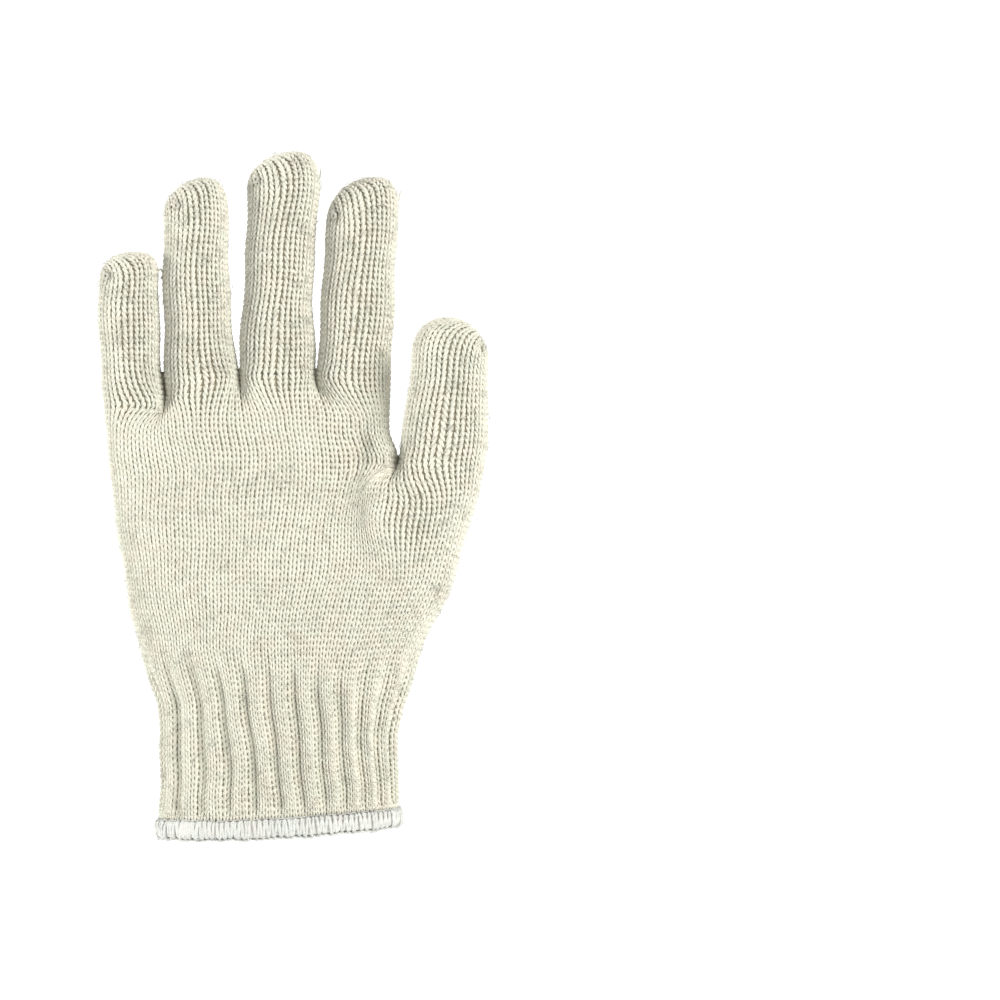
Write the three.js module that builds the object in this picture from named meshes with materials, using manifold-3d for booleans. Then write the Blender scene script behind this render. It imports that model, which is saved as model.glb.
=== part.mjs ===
// A string-knit cotton work glove for the right hand, held up in the form that a hand gives it.
// Millimetres. +Z runs from the cuff opening to the fingertips, the palm faces -Y and the thumb is at +X.
// The origin is the centre of the cuff opening. The glove is hollow all through, open at the cuff.
import * as THREE from 'three';
import Module from 'manifold-3d';

const wasm = await Module();
wasm.setup();

// Driving dimensions of the knit
const wall = 2.0;               // thickness of the knitted fabric
const seam = 0.3;               // gap between two neighbouring pieces

// Driving dimensions of the hem and the cuff
const hemHeight = 6.6;          // height of the thread band
const hemThread = 1.2;          // how thick the thread lies on each side of the fabric edge
const hemGrip = 4.0;            // how far the fabric edge reaches into the band
const hemPlay = 0.45;           // clearance between the thread and the fabric edge
const hemTilt = 4.2;            // how much higher the band sits at the thumb's side
const cuffWidth = 84.4;         // across the narrowest part of the cuff
const cuffDepth = 39.0;         // front to back there
const cuffLength = 66.0;        // opening to the upper end of the ribs
const cuffSway = 0.9;           // how far that end stands over to the thumb's side
const ribCount = 25;            // ribs all round
const ribDepth = 1.4;           // groove depth between two ribs

// Driving dimensions of the palm
const palmLength = 97.4;        // ribs to the crotches beside the middle finger
const palmDepth = 29.0;         // front to back at the knuckles
const handWidth = 101.4;        // across the roots of the four fingers
const fingerLength = 77.4;      // the middle finger, root to tip
const handShift = -11.2;        // how far the four fingers stand from the middle of the cuff
const thumbCrotchRise = 67.6;   // ribs to the crotch between thumb and palm
const thumbGap = 2.6;           // web between the index finger's edge and the thumb's root
const thumbForward = 11.0;      // how far the thumb's root stands forward of the palm
const thumbReach = 15.0;        // how much further forward its tip is

// One row for each tube, from the little finger's side, then the thumb. Width, at the root, is a share of
// the hand's and length, root to tip, of the middle finger's. Depth is a share of the tube's own width.
// Waist and top are the widths a third of the way up and under the tip, as shares of the root's. Lean (of
// the tip, to the thumb's side), bow (of the middle) and curl (forward) are shares of the tube's length.
// Crown is the height of the round tip and skew how far its top sits sideways, both as shares of its width.
const tubeShares = [
  {
    name: 'little_finger', width: 0.218, length: 0.685, depth: 0.93, waist: 1.0, top: 0.955,
    lean: -0.022, bow: -0.025, curl: 0.10, crown: 0.52, skew: 0.03, columns: 8,
  },
  {
    name: 'ring_finger', width: 0.2535, length: 0.921, depth: 0.90, waist: 0.955, top: 0.87,
    lean: -0.022, bow: -0.018, curl: 0.09, crown: 0.60, skew: 0.11, columns: 8,
  },
  {
    name: 'middle_finger', width: 0.265, length: 1.0, depth: 0.89, waist: 0.93, top: 0.935,
    lean: 0.042, bow: -0.008, curl: 0.08, crown: 0.52, skew: 0.06, columns: 8,
  },
  {
    name: 'index_finger', width: 0.2635, length: 0.917, depth: 0.90, waist: 0.96, top: 0.97,
    lean: 0.060, bow: 0.0, curl: 0.09, crown: 0.58, skew: 0.11, columns: 12,
  },
  {
    name: 'thumb', width: 0.306, length: 0.623, depth: 0.86, waist: 0.945, top: 0.88,
    lean: 0.050, bow: 0.020, curl: 0.0, crown: 0.54, skew: -0.02, columns: 10,
  },
];
const tubes = tubeShares.map((row) => ({
  ...row,
  width: row.width * handWidth,
  length: row.length * fingerLength,
}));
const thumb = tubes[4];
const fingers = tubes.slice(0, 4);

// How far the roots lie below the highest crotch, as a share of the palm's length, at the five edges
// of the four fingers
const rootLine = [
  { edge: 'outside the little finger', drop: 0.140 },
  { edge: 'little and ring finger', drop: 0.068 },
  { edge: 'ring and middle finger', drop: 0.0 },
  { edge: 'middle and index finger', drop: 0.0 },
  { edge: 'outside the index finger', drop: 0.055 },
];

// The cuff's outline. Rise is a share of its length, width and depth are shares of its own width
// and depth, rib is how far the ribs stand up and pull how far the whole ring is drawn in, both as
// shares of the groove's depth.
const cuffStations = [
  { rise: 0.035, width: 1.026, depth: 1.020, rib: 0.0, pull: 1.0 },
  { rise: 0.108, width: 1.024, depth: 1.018, rib: 0.0, pull: 1.0 },
  { rise: 0.155, width: 1.016, depth: 1.008, rib: 0.9, pull: 0.1 },
  { rise: 0.330, width: 1.002, depth: 0.990, rib: 1.0, pull: 0.0 },
  { rise: 0.550, width: 1.000, depth: 0.980, rib: 1.0, pull: 0.0 },
  { rise: 0.710, width: 1.035, depth: 0.965, rib: 1.0, pull: 0.0 },
  { rise: 0.860, width: 1.112, depth: 0.945, rib: 0.7, pull: 0.0 },
  { rise: 1.000, width: 1.187, depth: 0.925, rib: 0.1, pull: 0.0 },
];

// The palm's outline up to the thumb's crotch. Rise is a share of the crotch's height above the ribs,
// left and right say how far the edges have spread from the cuff's to the knuckles' and the thumb's,
// depth is a share of the way from the cuff's depth to the palm's.
const palmStations = [
  { rise: 0.000, left: 0.000, right: 0.000, depth: 0.00 },
  { rise: 0.080, left: 0.110, right: 0.095, depth: 0.10 },
  { rise: 0.225, left: 0.305, right: 0.300, depth: 0.26 },
  { rise: 0.370, left: 0.440, right: 0.485, depth: 0.40 },
  { rise: 0.520, left: 0.550, right: 0.630, depth: 0.54 },
  { rise: 0.660, left: 0.660, right: 0.760, depth: 0.68 },
  { rise: 0.810, left: 0.745, right: 0.890, depth: 0.82 },
  { rise: 0.920, left: 0.770, right: 0.960, depth: 0.93 },
  { rise: 1.000, left: 0.840, right: 1.000, depth: 1.00 },
];

// Soft hollows in the palm's front. Across and up are shares of the palm's length from the
// thumb's crotch, radius is a share of that length, depth is a share of the palm's depth.
const hollows = [
  { where: 'beside the thumb crotch', across: -0.150, up: 0.050, radius: 0.130, depth: 0.085 },
  { where: 'middle of the palm', across: -0.540, up: -0.190, radius: 0.280, depth: 0.050 },
];

// Gathered folds that fan out from the thumb's crotch over the palm's front. Angle is in degrees from
// straight across, length and width are shares of the palm's length, height of the palm's depth.
const gathers = [
  { angle: 38, length: 0.170, width: 0.022, height: 0.045 },
  { angle: 6, length: 0.190, width: 0.024, height: 0.055 },
  { angle: -28, length: 0.210, width: 0.026, height: 0.055 },
  { angle: -60, length: 0.190, width: 0.024, height: 0.040 },
];

// Shape numbers without a unit
const roomColumns = 7;          // columns on each face of a tube's hollow
const cuffOval = 2.25;          // power of the cuff's oval, 2 is an ellipse
const palmOval = 2.7;           // power of the palm's flatter oval
const tubeOval = 2.15;          // power of a finger's oval
const crownPower = 2.3;         // power of a fingertip's round top
const valleyShare = 0.17;       // how far the valleys between fingers run down, of the palm's length
const thumbValleyShare = 0.56;  // the same for the thumb's, of its crotch's height
const tiltFrom = -0.28;         // where the hem starts to rise, of the cuff's width
const tiltOver = 0.8;           // over which it rises, of the cuff's width
const tiltFade = 3.5;           // hem heights above the hem where the cuff's rows are level again
const hemColumns = 24;          // columns on each face of the hem and of the cuff's inside
const forwardFade = 0.7;        // where the palm's lean to the thumb ends, of the way to the finger roots
const neck = 0.5;               // half of the least thickness left where two tubes part
const crotchWeb = 4.5;          // fabric widths left solid below the fingers' crotches
const thumbWeb = 8.0;           // the same below the thumb's

// Heights and places that follow from the dimensions
const crotchTop = cuffLength + palmLength;
const thumbCrotch = cuffLength + thumbCrotchRise;
const fingerSpan = fingers.reduce((sum, finger) => sum + finger.width, 0);
const edges = [handShift - fingerSpan / 2];
for (const finger of fingers) edges.push(edges[edges.length - 1] + finger.width);
const indexEdge = edges[4];
const thumbRootLeft = indexEdge + thumbGap;
const thumbRootRight = thumbRootLeft + thumb.width;

const mix = (from, to, share) => from + (to - from) * share;
const clamp = (value) => Math.min(1, Math.max(0, value));
const smooth = (value) => clamp(value) ** 2 * (3 - 2 * clamp(value));

// A column of a table at a share between two of its rows
function between(table, column, share) {
  const after = table.findIndex((row) => row.rise >= share);
  if (after === 0) return table[0][column];
  if (after < 0) return table[table.length - 1][column];
  const low = table[after - 1];
  const high = table[after];
  return mix(low[column], high[column], (share - low.rise) / (high.rise - low.rise));
}

// Half of an oval from its left end to its right end, at the given shares of its length
function halfOval(halfWidth, halfDepth, power, shares) {
  const steps = 120;
  const line = [];
  let walked = 0;
  for (let step = 0; step <= steps; step++) {
    const angle = Math.PI * step / steps;
    const across = -halfWidth * Math.sign(Math.cos(angle)) * Math.abs(Math.cos(angle)) ** (2 / power);
    const out = halfDepth * Math.abs(Math.sin(angle)) ** (2 / power);
    if (step > 0) walked += Math.hypot(across - line[step - 1].across, out - line[step - 1].out);
    line.push({ across, out, rise: walked });
  }
  return shares.map((share) => ({
    across: between(line, 'across', share * walked),
    out: Math.max(0, between(line, 'out', share * walked)),
  }));
}

// One point of a tube's own oval, turn runs from 0 at its left edge to 1 at its right edge
function tubeOutline(centre, halfWidth, halfDepth, turn) {
  const angle = Math.PI * turn;
  const across = Math.sign(Math.cos(angle)) * Math.abs(Math.cos(angle)) ** (2 / tubeOval);
  return { across: centre - halfWidth * across, out: halfDepth * Math.abs(Math.sin(angle)) ** (2 / tubeOval) };
}

// A solid's skin, gathered face by face with shared corners
class Skin {
  constructor() {
    this.points = [];
    this.found = new Map();
    this.faces = [];
  }

  corner(point) {
    const key = point.toArray().map((value) => Math.round(value * 1e4)).join(' ');
    if (!this.found.has(key)) {
      this.found.set(key, this.points.length / 3);
      this.points.push(point.x, point.y, point.z);
    }
    return this.found.get(key);
  }

  triangle(a, b, c) {
    const [i, j, k] = [this.corner(a), this.corner(b), this.corner(c)];
    if (i !== j && j !== k && k !== i) this.faces.push(i, j, k);
  }

  quad(a, b, c, d) {
    this.triangle(a, b, c);
    this.triangle(a, c, d);
  }

  solid() {
    const mesh = new wasm.Mesh({
      numProp: 3,
      vertProperties: Float32Array.from(this.points),
      triVerts: Uint32Array.from(this.faces),
    });
    return new wasm.Manifold(mesh);
  }
}

// The wall between two rings, from one column to another. A ring has a front and a back line, both
// from left to right.
function wallBetween(skin, low, high, from, to) {
  for (let column = from; column < to; column++) {
    const next = column + 1;
    skin.quad(low.front[column], low.front[next], high.front[next], high.front[column]);
    skin.quad(low.back[next], low.back[column], high.back[column], high.back[next]);
  }
}

// The narrow strip that joins a ring's front and back line at its left or right end
function edgeBetween(skin, low, high, column, right) {
  const [first, second] = right ? ['front', 'back'] : ['back', 'front'];
  skin.quad(low[first][column], low[second][column], high[second][column], high[first][column]);
}

function lidBelow(skin, ring, from, to) {
  for (let column = from; column < to; column++) {
    skin.quad(ring.back[column], ring.back[column + 1], ring.front[column + 1], ring.front[column]);
  }
}

function lidAbove(skin, ring, from, to) {
  for (let column = from; column < to; column++) {
    skin.quad(ring.front[column], ring.front[column + 1], ring.back[column + 1], ring.back[column]);
  }
}

// A closed solid through a stack of rings
function loft(rings) {
  const skin = new Skin();
  const last = rings[0].front.length - 1;
  lidBelow(skin, rings[0], 0, last);
  for (let level = 1; level < rings.length; level++) {
    wallBetween(skin, rings[level - 1], rings[level], 0, last);
    edgeBetween(skin, rings[level - 1], rings[level], 0, false);
    edgeBetween(skin, rings[level - 1], rings[level], last, true);
  }
  lidAbove(skin, rings[rings.length - 1], 0, last);
  return skin.solid();
}

// A ring moved inwards by the same amount everywhere, seen from above
function inset(ring, amount) {
  const last = ring.front.length - 1;
  const line = [...ring.front, ...[...ring.back].reverse()];
  const moved = line.map((point, index) => {
    const before = nearestOther(line, index, -1);
    const after = nearestOther(line, index, 1);
    const along = new THREE.Vector3(after.x - before.x, after.y - before.y, 0).normalize();
    return new THREE.Vector3(point.x - along.y * amount, point.y + along.x * amount, point.z);
  });
  return { front: moved.slice(0, last + 1), back: moved.slice(last + 1).reverse() };
}

// The next corner of a closed line that doesn't lie on the same spot
function nearestOther(line, index, step) {
  const here = line[index];
  let other = index;
  do {
    other = (other + step + line.length) % line.length;
  } while (Math.hypot(line[other].x - here.x, line[other].y - here.y) < 1e-3 && other !== index);
  return line[other];
}

// The band's lower edge rises a little to the thumb's side
const hemRise = (x) => hemTilt * Math.max(0, (x / cuffWidth - tiltFrom) / tiltOver) ** 1.5;

// A plain ring of the cuff at a share of its length, with a number of columns on each face
function cuffRing(rise, columns) {
  const halfWidth = cuffWidth / 2 * between(cuffStations, 'width', rise);
  const halfDepth = cuffDepth / 2 * between(cuffStations, 'depth', rise);
  const shares = Array.from({ length: columns + 1 }, (_, column) => column / columns);
  const outline = halfOval(halfWidth, halfDepth, cuffOval, shares);
  const sway = cuffSway * smooth(rise);
  const aboveHem = rise * cuffLength - hemHeight;
  const height = (x) => rise * cuffLength + hemRise(x) * (1 - smooth(aboveHem / (tiltFade * hemHeight)));
  return {
    front: outline.map(({ across, out }) => new THREE.Vector3(across + sway, -out, height(across))),
    back: outline.map(({ across, out }) => new THREE.Vector3(across + sway, out, height(across))),
  };
}

// The same ring with the grooves between the ribs pressed in. Four columns make one rib.
function ribbedRing(rise) {
  const columns = ribCount * 2;
  const plain = cuffRing(rise, columns);
  const pressed = inset(plain, ribDepth);
  const rib = between(cuffStations, 'rib', rise);
  const pull = between(cuffStations, 'pull', rise);
  const groove = [0, 0.15, 1, 0.15];
  const sunk = (place) => Math.min(1, groove[place % groove.length] * rib + pull);
  return {
    front: plain.front.map((point, column) => point.clone().lerp(pressed.front[column], sunk(column))),
    back: plain.back.map((point, column) => point.clone().lerp(pressed.back[column], sunk(2 * columns - column))),
  };
}

// Columns of the palm: which tube each lies under, how far round it, and its share of the whole front
const palmColumns = [];
tubes.forEach((tube, index) => {
  for (let column = index === 0 ? 0 : 1; column <= tube.columns; column++) {
    palmColumns.push({ tube: index, turn: column / tube.columns });
  }
});
const stitchWidth = tubes.map((tube) => tube.width);
const stitchTotal = stitchWidth.reduce((sum, width) => sum + width, 0);
for (const column of palmColumns) {
  const before = stitchWidth.slice(0, column.tube).reduce((sum, width) => sum + width, 0);
  column.share = (before + stitchWidth[column.tube] * column.turn) / stitchTotal;
}
const handColumns = fingers.reduce((sum, finger) => sum + finger.columns, 0);
const handShare = palmColumns[handColumns].share;

// How far forward the fabric stands on the thumb's side. It grows up to the thumb's crotch and
// fades again above it, where the palm runs on to the index finger.
const forwardFrom = 0.2 * indexEdge;
const forwardOver = thumbRootRight - 0.4 * indexEdge;
const forward = (x, amount) => -amount * smooth((x - forwardFrom) / forwardOver);
function forwardAt(x, z) {
  const growth = smooth((z - cuffLength) / thumbCrotchRise);
  const fade = 1 - smooth((z - thumbCrotch) / (forwardFade * (crotchTop - thumbCrotch)));
  return forward(x, thumbForward * growth * fade);
}

// Hollows and gathered folds press the palm's front in or lift it
function relief(x, z) {
  let out = 0;
  for (const { across, up, radius, depth } of hollows) {
    const distance = Math.hypot(x - thumbRootLeft - across * palmLength, z - thumbCrotch - up * palmLength);
    out -= depth * palmDepth * Math.exp(-((distance / (radius * palmLength)) ** 2));
  }
  for (const { angle, length, width, height } of gathers) {
    const direction = THREE.MathUtils.degToRad(180 - angle);
    const dx = x - thumbRootLeft;
    const dz = z - thumbCrotch;
    const along = (dx * Math.cos(direction) + dz * Math.sin(direction)) / (length * palmLength);
    const aside = (-dx * Math.sin(direction) + dz * Math.cos(direction)) / (width * palmLength);
    if (along > 0 && along < 1) out += height * palmDepth * Math.sin(Math.PI * along) * Math.exp(-(aside ** 2));
  }
  return out;
}

// The hand's edge on the little finger's side, between the cuff's and the knuckles'
const cuffTopHalf = cuffWidth / 2 * cuffStations[cuffStations.length - 1].width;
const leftEdge = (spread) => mix(cuffSway - cuffTopHalf, edges[0], spread);

// A ring of the palm below the thumb's crotch: one oval that turns into the hand's and the thumb's own
function lowerRing(rise) {
  const z = cuffLength + rise * thumbCrotchRise;
  const left = leftEdge(between(palmStations, 'left', rise));
  const right = mix(cuffSway + cuffTopHalf, thumbRootRight, between(palmStations, 'right', rise));
  const cuffTopDepth = cuffDepth / 2 * cuffStations[cuffStations.length - 1].depth;
  const halfDepth = mix(cuffTopDepth, palmDepth / 2, between(palmStations, 'depth', rise));
  const power = mix(cuffOval, palmOval, smooth(rise / 0.6));
  const whole = halfOval((right - left) / 2, halfDepth, power, palmColumns.map(({ share }) => share));
  const parted = smooth((rise - 1 + thumbValleyShare) / thumbValleyShare) ** 1.6;
  const valley = mix(mix(left, right, handShare), thumbRootLeft, smooth(rise));
  const handShares = palmColumns.slice(0, handColumns + 1).map(({ share }) => share / handShare);
  const hand = halfOval((valley - left) / 2, halfDepth, power, handShares);
  const ring = { front: [], back: [] };
  palmColumns.forEach(({ turn }, column) => {
    const own = column <= handColumns
      ? { across: (left + valley) / 2 + hand[column].across, out: hand[column].out }
      : tubeOutline((valley + right) / 2, (right - valley) / 2, thumb.width * thumb.depth / 2, turn);
    const x = mix((left + right) / 2 + whole[column].across, own.across, parted);
    const atValley = column === handColumns ? neck : 0;
    const out = Math.max(atValley, mix(whole[column].out, own.out, parted));
    const y = forwardAt(x, z);
    const pressed = relief(x, z) * clamp(out / halfDepth);
    ring.front.push(new THREE.Vector3(x, y - out - pressed, z));
    ring.back.push(new THREE.Vector3(x, y + out, z));
  });
  return ring;
}

// Height of the fingers' roots under a column
function rootHeight({ tube, turn }) {
  const drop = mix(rootLine[tube].drop, rootLine[tube + 1].drop, turn);
  return crotchTop - drop * palmLength;
}

// A ring of the palm above the thumb's crotch, level 0 at that crotch and 1 at the fingers' roots.
// The hand's oval turns into one oval for each finger.
function upperRing(level) {
  const z = mix(thumbCrotch, crotchTop, level);
  const spread = mix(palmStations[palmStations.length - 1].left, 1, level);
  const left = leftEdge(spread);
  const right = mix(thumbRootLeft, indexEdge, smooth(level * 2.5));
  const parted = smooth(1 - (crotchTop - z) / (valleyShare * palmLength));
  const handShares = palmColumns.slice(0, handColumns + 1).map(({ share }) => share / handShare);
  const hand = halfOval((right - left) / 2, palmDepth / 2, palmOval, handShares);
  const ring = { front: [], back: [] };
  for (let column = 0; column <= handColumns; column++) {
    const { tube, turn } = palmColumns[column];
    const finger = tubes[tube];
    const middle = (edges[tube] + edges[tube + 1]) / 2;
    const own = tubeOutline(middle, finger.width / 2, finger.width * finger.depth / 2, turn);
    const inner = turn === 1 && tube < 3 || column === handColumns;
    const x = mix((left + right) / 2 + hand[column].across, own.across, parted);
    const out = Math.max(inner ? neck : 0, mix(hand[column].out, own.out, parted));
    const height = mix(thumbCrotch, rootHeight(palmColumns[column]), level);
    const y = forwardAt(x, height);
    const pressed = relief(x, height) * clamp(out / palmDepth * 2) * (1 - parted);
    ring.front.push(new THREE.Vector3(x, y - out - pressed, height));
    ring.back.push(new THREE.Vector3(x, y + out, height));
  }
  return ring;
}

// Where a tube stands: its root's left and right end and its centre's run to the tip
function tubeStand(index) {
  if (index < 4) {
    return {
      left: edges[index],
      right: edges[index + 1],
      rootLeft: rootHeight({ tube: index, turn: 0 }),
      rootRight: rootHeight({ tube: index, turn: 1 }),
      rootY: () => 0,
      reach: 0,
    };
  }
  return {
    left: thumbRootLeft,
    right: thumbRootRight,
    rootLeft: thumbCrotch,
    rootRight: thumbCrotch,
    rootY: (x) => forward(x, thumbForward),
    reach: thumbReach,
  };
}

// Rings of a tube from its root to its tip, made smaller by an inset on the inside. A tail below the root
// reaches down into the palm, to hollow it out there.
function tubeRings(index, amount, tail, columns, risesUp, turnsUp) {
  const tube = tubes[index];
  const stand = tubeStand(index);
  const rootMiddle = (stand.rootLeft + stand.rootRight) / 2;
  const crownHeight = tube.crown * tube.width * tube.top - amount;
  const shaft = tube.length - amount - crownHeight;
  const levels = risesUp.map((share) => ({ height: share * shaft, size: 1, up: 0 }));
  for (const turn of turnsUp) {
    const up = Math.sin(THREE.MathUtils.degToRad(turn));
    levels.push({ height: shaft + crownHeight * up, size: (1 - up ** crownPower) ** (1 / crownPower), up });
  }
  levels.push({ height: shaft + crownHeight, size: 0, up: 1 });
  levels.unshift(...tail.map((depth) => ({ height: -depth, size: 1, up: 0 })));
  return levels.map(({ height, size, up }) => {
    const share = height / tube.length;
    const girth = mix(mix(1, tube.waist, smooth(share / 0.35)), tube.top, smooth((share - 0.35) / 0.5));
    const width = tube.width * girth / 2 - seam / 2 - amount;
    const depth = tube.width * tube.depth * girth / 2 - amount;
    const centre = (stand.left + stand.right) / 2 + tube.lean * Math.max(0, height)
      + tube.bow * tube.length * Math.sin(Math.PI * clamp(share)) + tube.skew * tube.width * up ** 2;
    const settled = smooth(height / (0.3 * tube.length));
    const ring = { front: [], back: [] };
    for (let column = 0; column <= columns; column++) {
      const turn = column / columns;
      const { across, out } = tubeOutline(centre, width * size, depth * size, turn);
      const middleY = mix(stand.rootY(across), stand.rootY(centre), settled)
        - (tube.curl * tube.length + stand.reach) * Math.max(0, share) ** 1.5;
      const rootSlope = mix(stand.rootLeft, stand.rootRight, turn) - rootMiddle;
      const z = rootMiddle + seam + height + rootSlope * (1 - settled);
      ring.front.push(new THREE.Vector3(across, middleY - out, z));
      ring.back.push(new THREE.Vector3(across, middleY + out, z));
    }
    return ring;
  });
}

// A hollow tube with a closed tip
const shaftRises = [0, 0.07, 0.18, 0.36, 0.68, 1];
const crownTurns = [22, 42, 59, 74];
function tubePiece(index) {
  const outside = loft(tubeRings(index, 0, [], tubes[index].columns, shaftRises, crownTurns));
  const inside = loft(tubeRings(index, wall, [wall], roomColumns, [0, 0.3, 1], [30, 60]));
  return outside.subtract(inside);
}

// One ring of the space that a tube leaves open inside the palm, as wide as the palm's own lobe there
function roomRing(index, ring) {
  const first = palmColumns.findIndex(({ tube, turn }) => tube === index && turn > 0) - 1;
  const last = first + tubes[index].columns;
  const middle = Math.round((first + last) / 2);
  const [left, right] = [ring.front[first], ring.front[last]];
  const halfWidth = (right.x - left.x) / 2 - wall;
  const halfDepth = Math.min((ring.back[middle].y - ring.front[middle].y) / 2, tubes[index].width * tubes[index].depth / 2);
  const middleY = (ring.back[middle].y + ring.front[middle].y) / 2;
  const room = { front: [], back: [] };
  for (let column = 0; column <= roomColumns; column++) {
    const turn = column / roomColumns;
    const { across, out } = tubeOutline((left.x + right.x) / 2, halfWidth, halfDepth - wall, turn);
    const z = mix(left.z, right.z, turn);
    room.front.push(new THREE.Vector3(across, middleY - out, z));
    room.back.push(new THREE.Vector3(across, middleY + out, z));
  }
  return room;
}

function tubeRoom(index) {
  const rings = index < 4
    ? [0.45, 0.75, 1].map((level) => roomRing(index, upperRing(level)))
    : [0.7, 0.85, 1].map((rise) => roomRing(index, lowerRing(rise)));
  return loft([...rings, lifted(rings[rings.length - 1], wall)]);
}

// A ring moved up
function lifted(ring, amount) {
  const move = (point) => new THREE.Vector3(point.x, point.y, point.z + amount);
  return { front: ring.front.map(move), back: ring.back.map(move) };
}

// A ring with every second column left out, its last one kept
function coarser(ring) {
  const kept = (_, column, line) => column % 2 === 0 || column === line.length - 1;
  return { front: ring.front.filter(kept), back: ring.back.filter(kept) };
}

// The palm: the outer skin is one branching sheet, the inside is cut out of it
function palmPiece() {
  const skin = new Skin();
  const last = palmColumns.length - 1;
  const bottomRise = seam / thumbCrotchRise;
  const rises = [bottomRise, 0.09, 0.22, 0.36, 0.5, 0.62, 0.73, 0.82, 0.9, 0.96, 1];
  const lower = rises.map(lowerRing);
  lidBelow(skin, lower[0], 0, last);
  for (let level = 1; level < lower.length; level++) {
    wallBetween(skin, lower[level - 1], lower[level], 0, last);
    edgeBetween(skin, lower[level - 1], lower[level], 0, false);
    edgeBetween(skin, lower[level - 1], lower[level], last, true);
  }
  const fork = lower[lower.length - 1];
  lidAbove(skin, fork, handColumns, last);
  const levels = [0.12, 0.24, 0.36, 0.5, 0.62, 0.74, 0.85, 0.93, 1];
  const upper = levels.map(upperRing);
  let below = fork;
  for (const ring of upper) {
    wallBetween(skin, below, ring, 0, handColumns);
    edgeBetween(skin, below, ring, 0, false);
    edgeBetween(skin, below, ring, handColumns, true);
    below = ring;
  }
  lidAbove(skin, below, 0, handColumns);
  let piece = skin.solid();
  const lowTop = 1 - thumbWeb * wall / thumbCrotchRise;
  const lowRoom = [-0.05, 0.25, 0.5, 0.7, lowTop].map((rise) => coarser(inset(lowerRing(rise), wall)));
  const highTop = 1 - crotchWeb * wall / (crotchTop - thumbCrotch);
  const highRoom = [-1.2, -0.5, 0, 0.3, highTop].map((level) => coarser(inset(upperRing(level), wall)));
  for (const room of [loft(lowRoom), loft(highRoom), ...tubes.map((_, index) => tubeRoom(index))]) {
    piece = piece.subtract(room);
  }
  return piece;
}

// The cuff: ribbed outside, plain inside, its lower edge inside the hem
function cuffPiece() {
  const rises = cuffStations.map(({ rise }) => rise);
  rises[0] = (hemHeight - hemGrip + hemPlay) / cuffLength;
  rises[rises.length - 1] = 1;
  const outside = loft(rises.map(ribbedRing));
  const plainRises = [-0.05, 0.108, 0.33, 0.55, 0.71, 0.86, 1.05];
  const inside = loft(plainRises.map((rise) => inset(cuffRing(rise, hemColumns), ribDepth + wall)));
  return outside.subtract(inside);
}

// The hem: a ring of thread with a slot on top for the cuff's edge
function hemPiece() {
  const outerHalf = wall / 2 + hemPlay + hemThread;
  const slotHalf = wall / 2 + hemPlay;
  const slotFloor = hemHeight - hemGrip;
  const profile = [
    { out: 0, up: 0 },
    { out: outerHalf * 0.75, up: hemHeight * 0.07 },
    { out: outerHalf, up: hemHeight * 0.3 },
    { out: outerHalf, up: hemHeight * 0.86 },
    { out: (outerHalf + slotHalf) / 2, up: hemHeight },
    { out: slotHalf, up: hemHeight * 0.94 },
    { out: slotHalf, up: slotFloor },
    { out: -slotHalf, up: slotFloor },
    { out: -slotHalf, up: hemHeight * 0.94 },
    { out: -(outerHalf + slotHalf) / 2, up: hemHeight },
    { out: -outerHalf, up: hemHeight * 0.86 },
    { out: -outerHalf, up: hemHeight * 0.3 },
    { out: -outerHalf * 0.75, up: hemHeight * 0.07 },
  ];
  const loops = profile.map(({ out, up }) => {
    const ring = inset(cuffRing(up / cuffLength, hemColumns), ribDepth + wall / 2 - out);
    return [...ring.front, ...ring.back.slice(1, -1).reverse()];
  });
  const skin = new Skin();
  loops.forEach((loop, index) => {
    const next = loops[(index + 1) % loops.length];
    loop.forEach((point, column) => {
      const beside = (column + 1) % loop.length;
      skin.quad(point, loop[beside], next[beside], next[column]);
    });
  });
  return skin.solid();
}

// A named mesh in its own colour
const cotton = { color: 0xe9e4cf, roughness: 0.95, metalness: 0 };
const thread = { color: 0xf6f5f0, roughness: 0.9, metalness: 0 };
function meshOf(name, solid, finish) {
  const { vertProperties, triVerts } = solid.getMesh();
  const geometry = new THREE.BufferGeometry();
  geometry.setAttribute('position', new THREE.Float32BufferAttribute(vertProperties, 3));
  geometry.setIndex([...triVerts]);
  geometry.computeVertexNormals();
  const mesh = new THREE.Mesh(geometry, new THREE.MeshStandardMaterial(finish));
  mesh.name = name;
  return mesh;
}

const group = new THREE.Group();
tubes.forEach((tube, index) => group.add(meshOf(tube.name, tubePiece(index), cotton)));
group.add(meshOf('palm', palmPiece(), cotton));
group.add(meshOf('rib_cuff', cuffPiece(), cotton));
group.add(meshOf('overlock_hem', hemPiece(), thread));

export default group;
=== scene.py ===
# %% [markdown]
# # A string-knit cotton work glove
# The glove is one long chain of stitches: thick ivory cotton yarn, knitted into a tube with a ribbed cuff,
# a palm, four fingers and a thumb, and closed at the bottom by a white overlocked hem. The CAD step made
# eight plain solids for it. This lesson lays real stitches on their shape, some ten thousand of them, and
# gives the yarn its twist, its fuzz and its uneven ivory colour.

# %% Load the frame
import math

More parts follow.
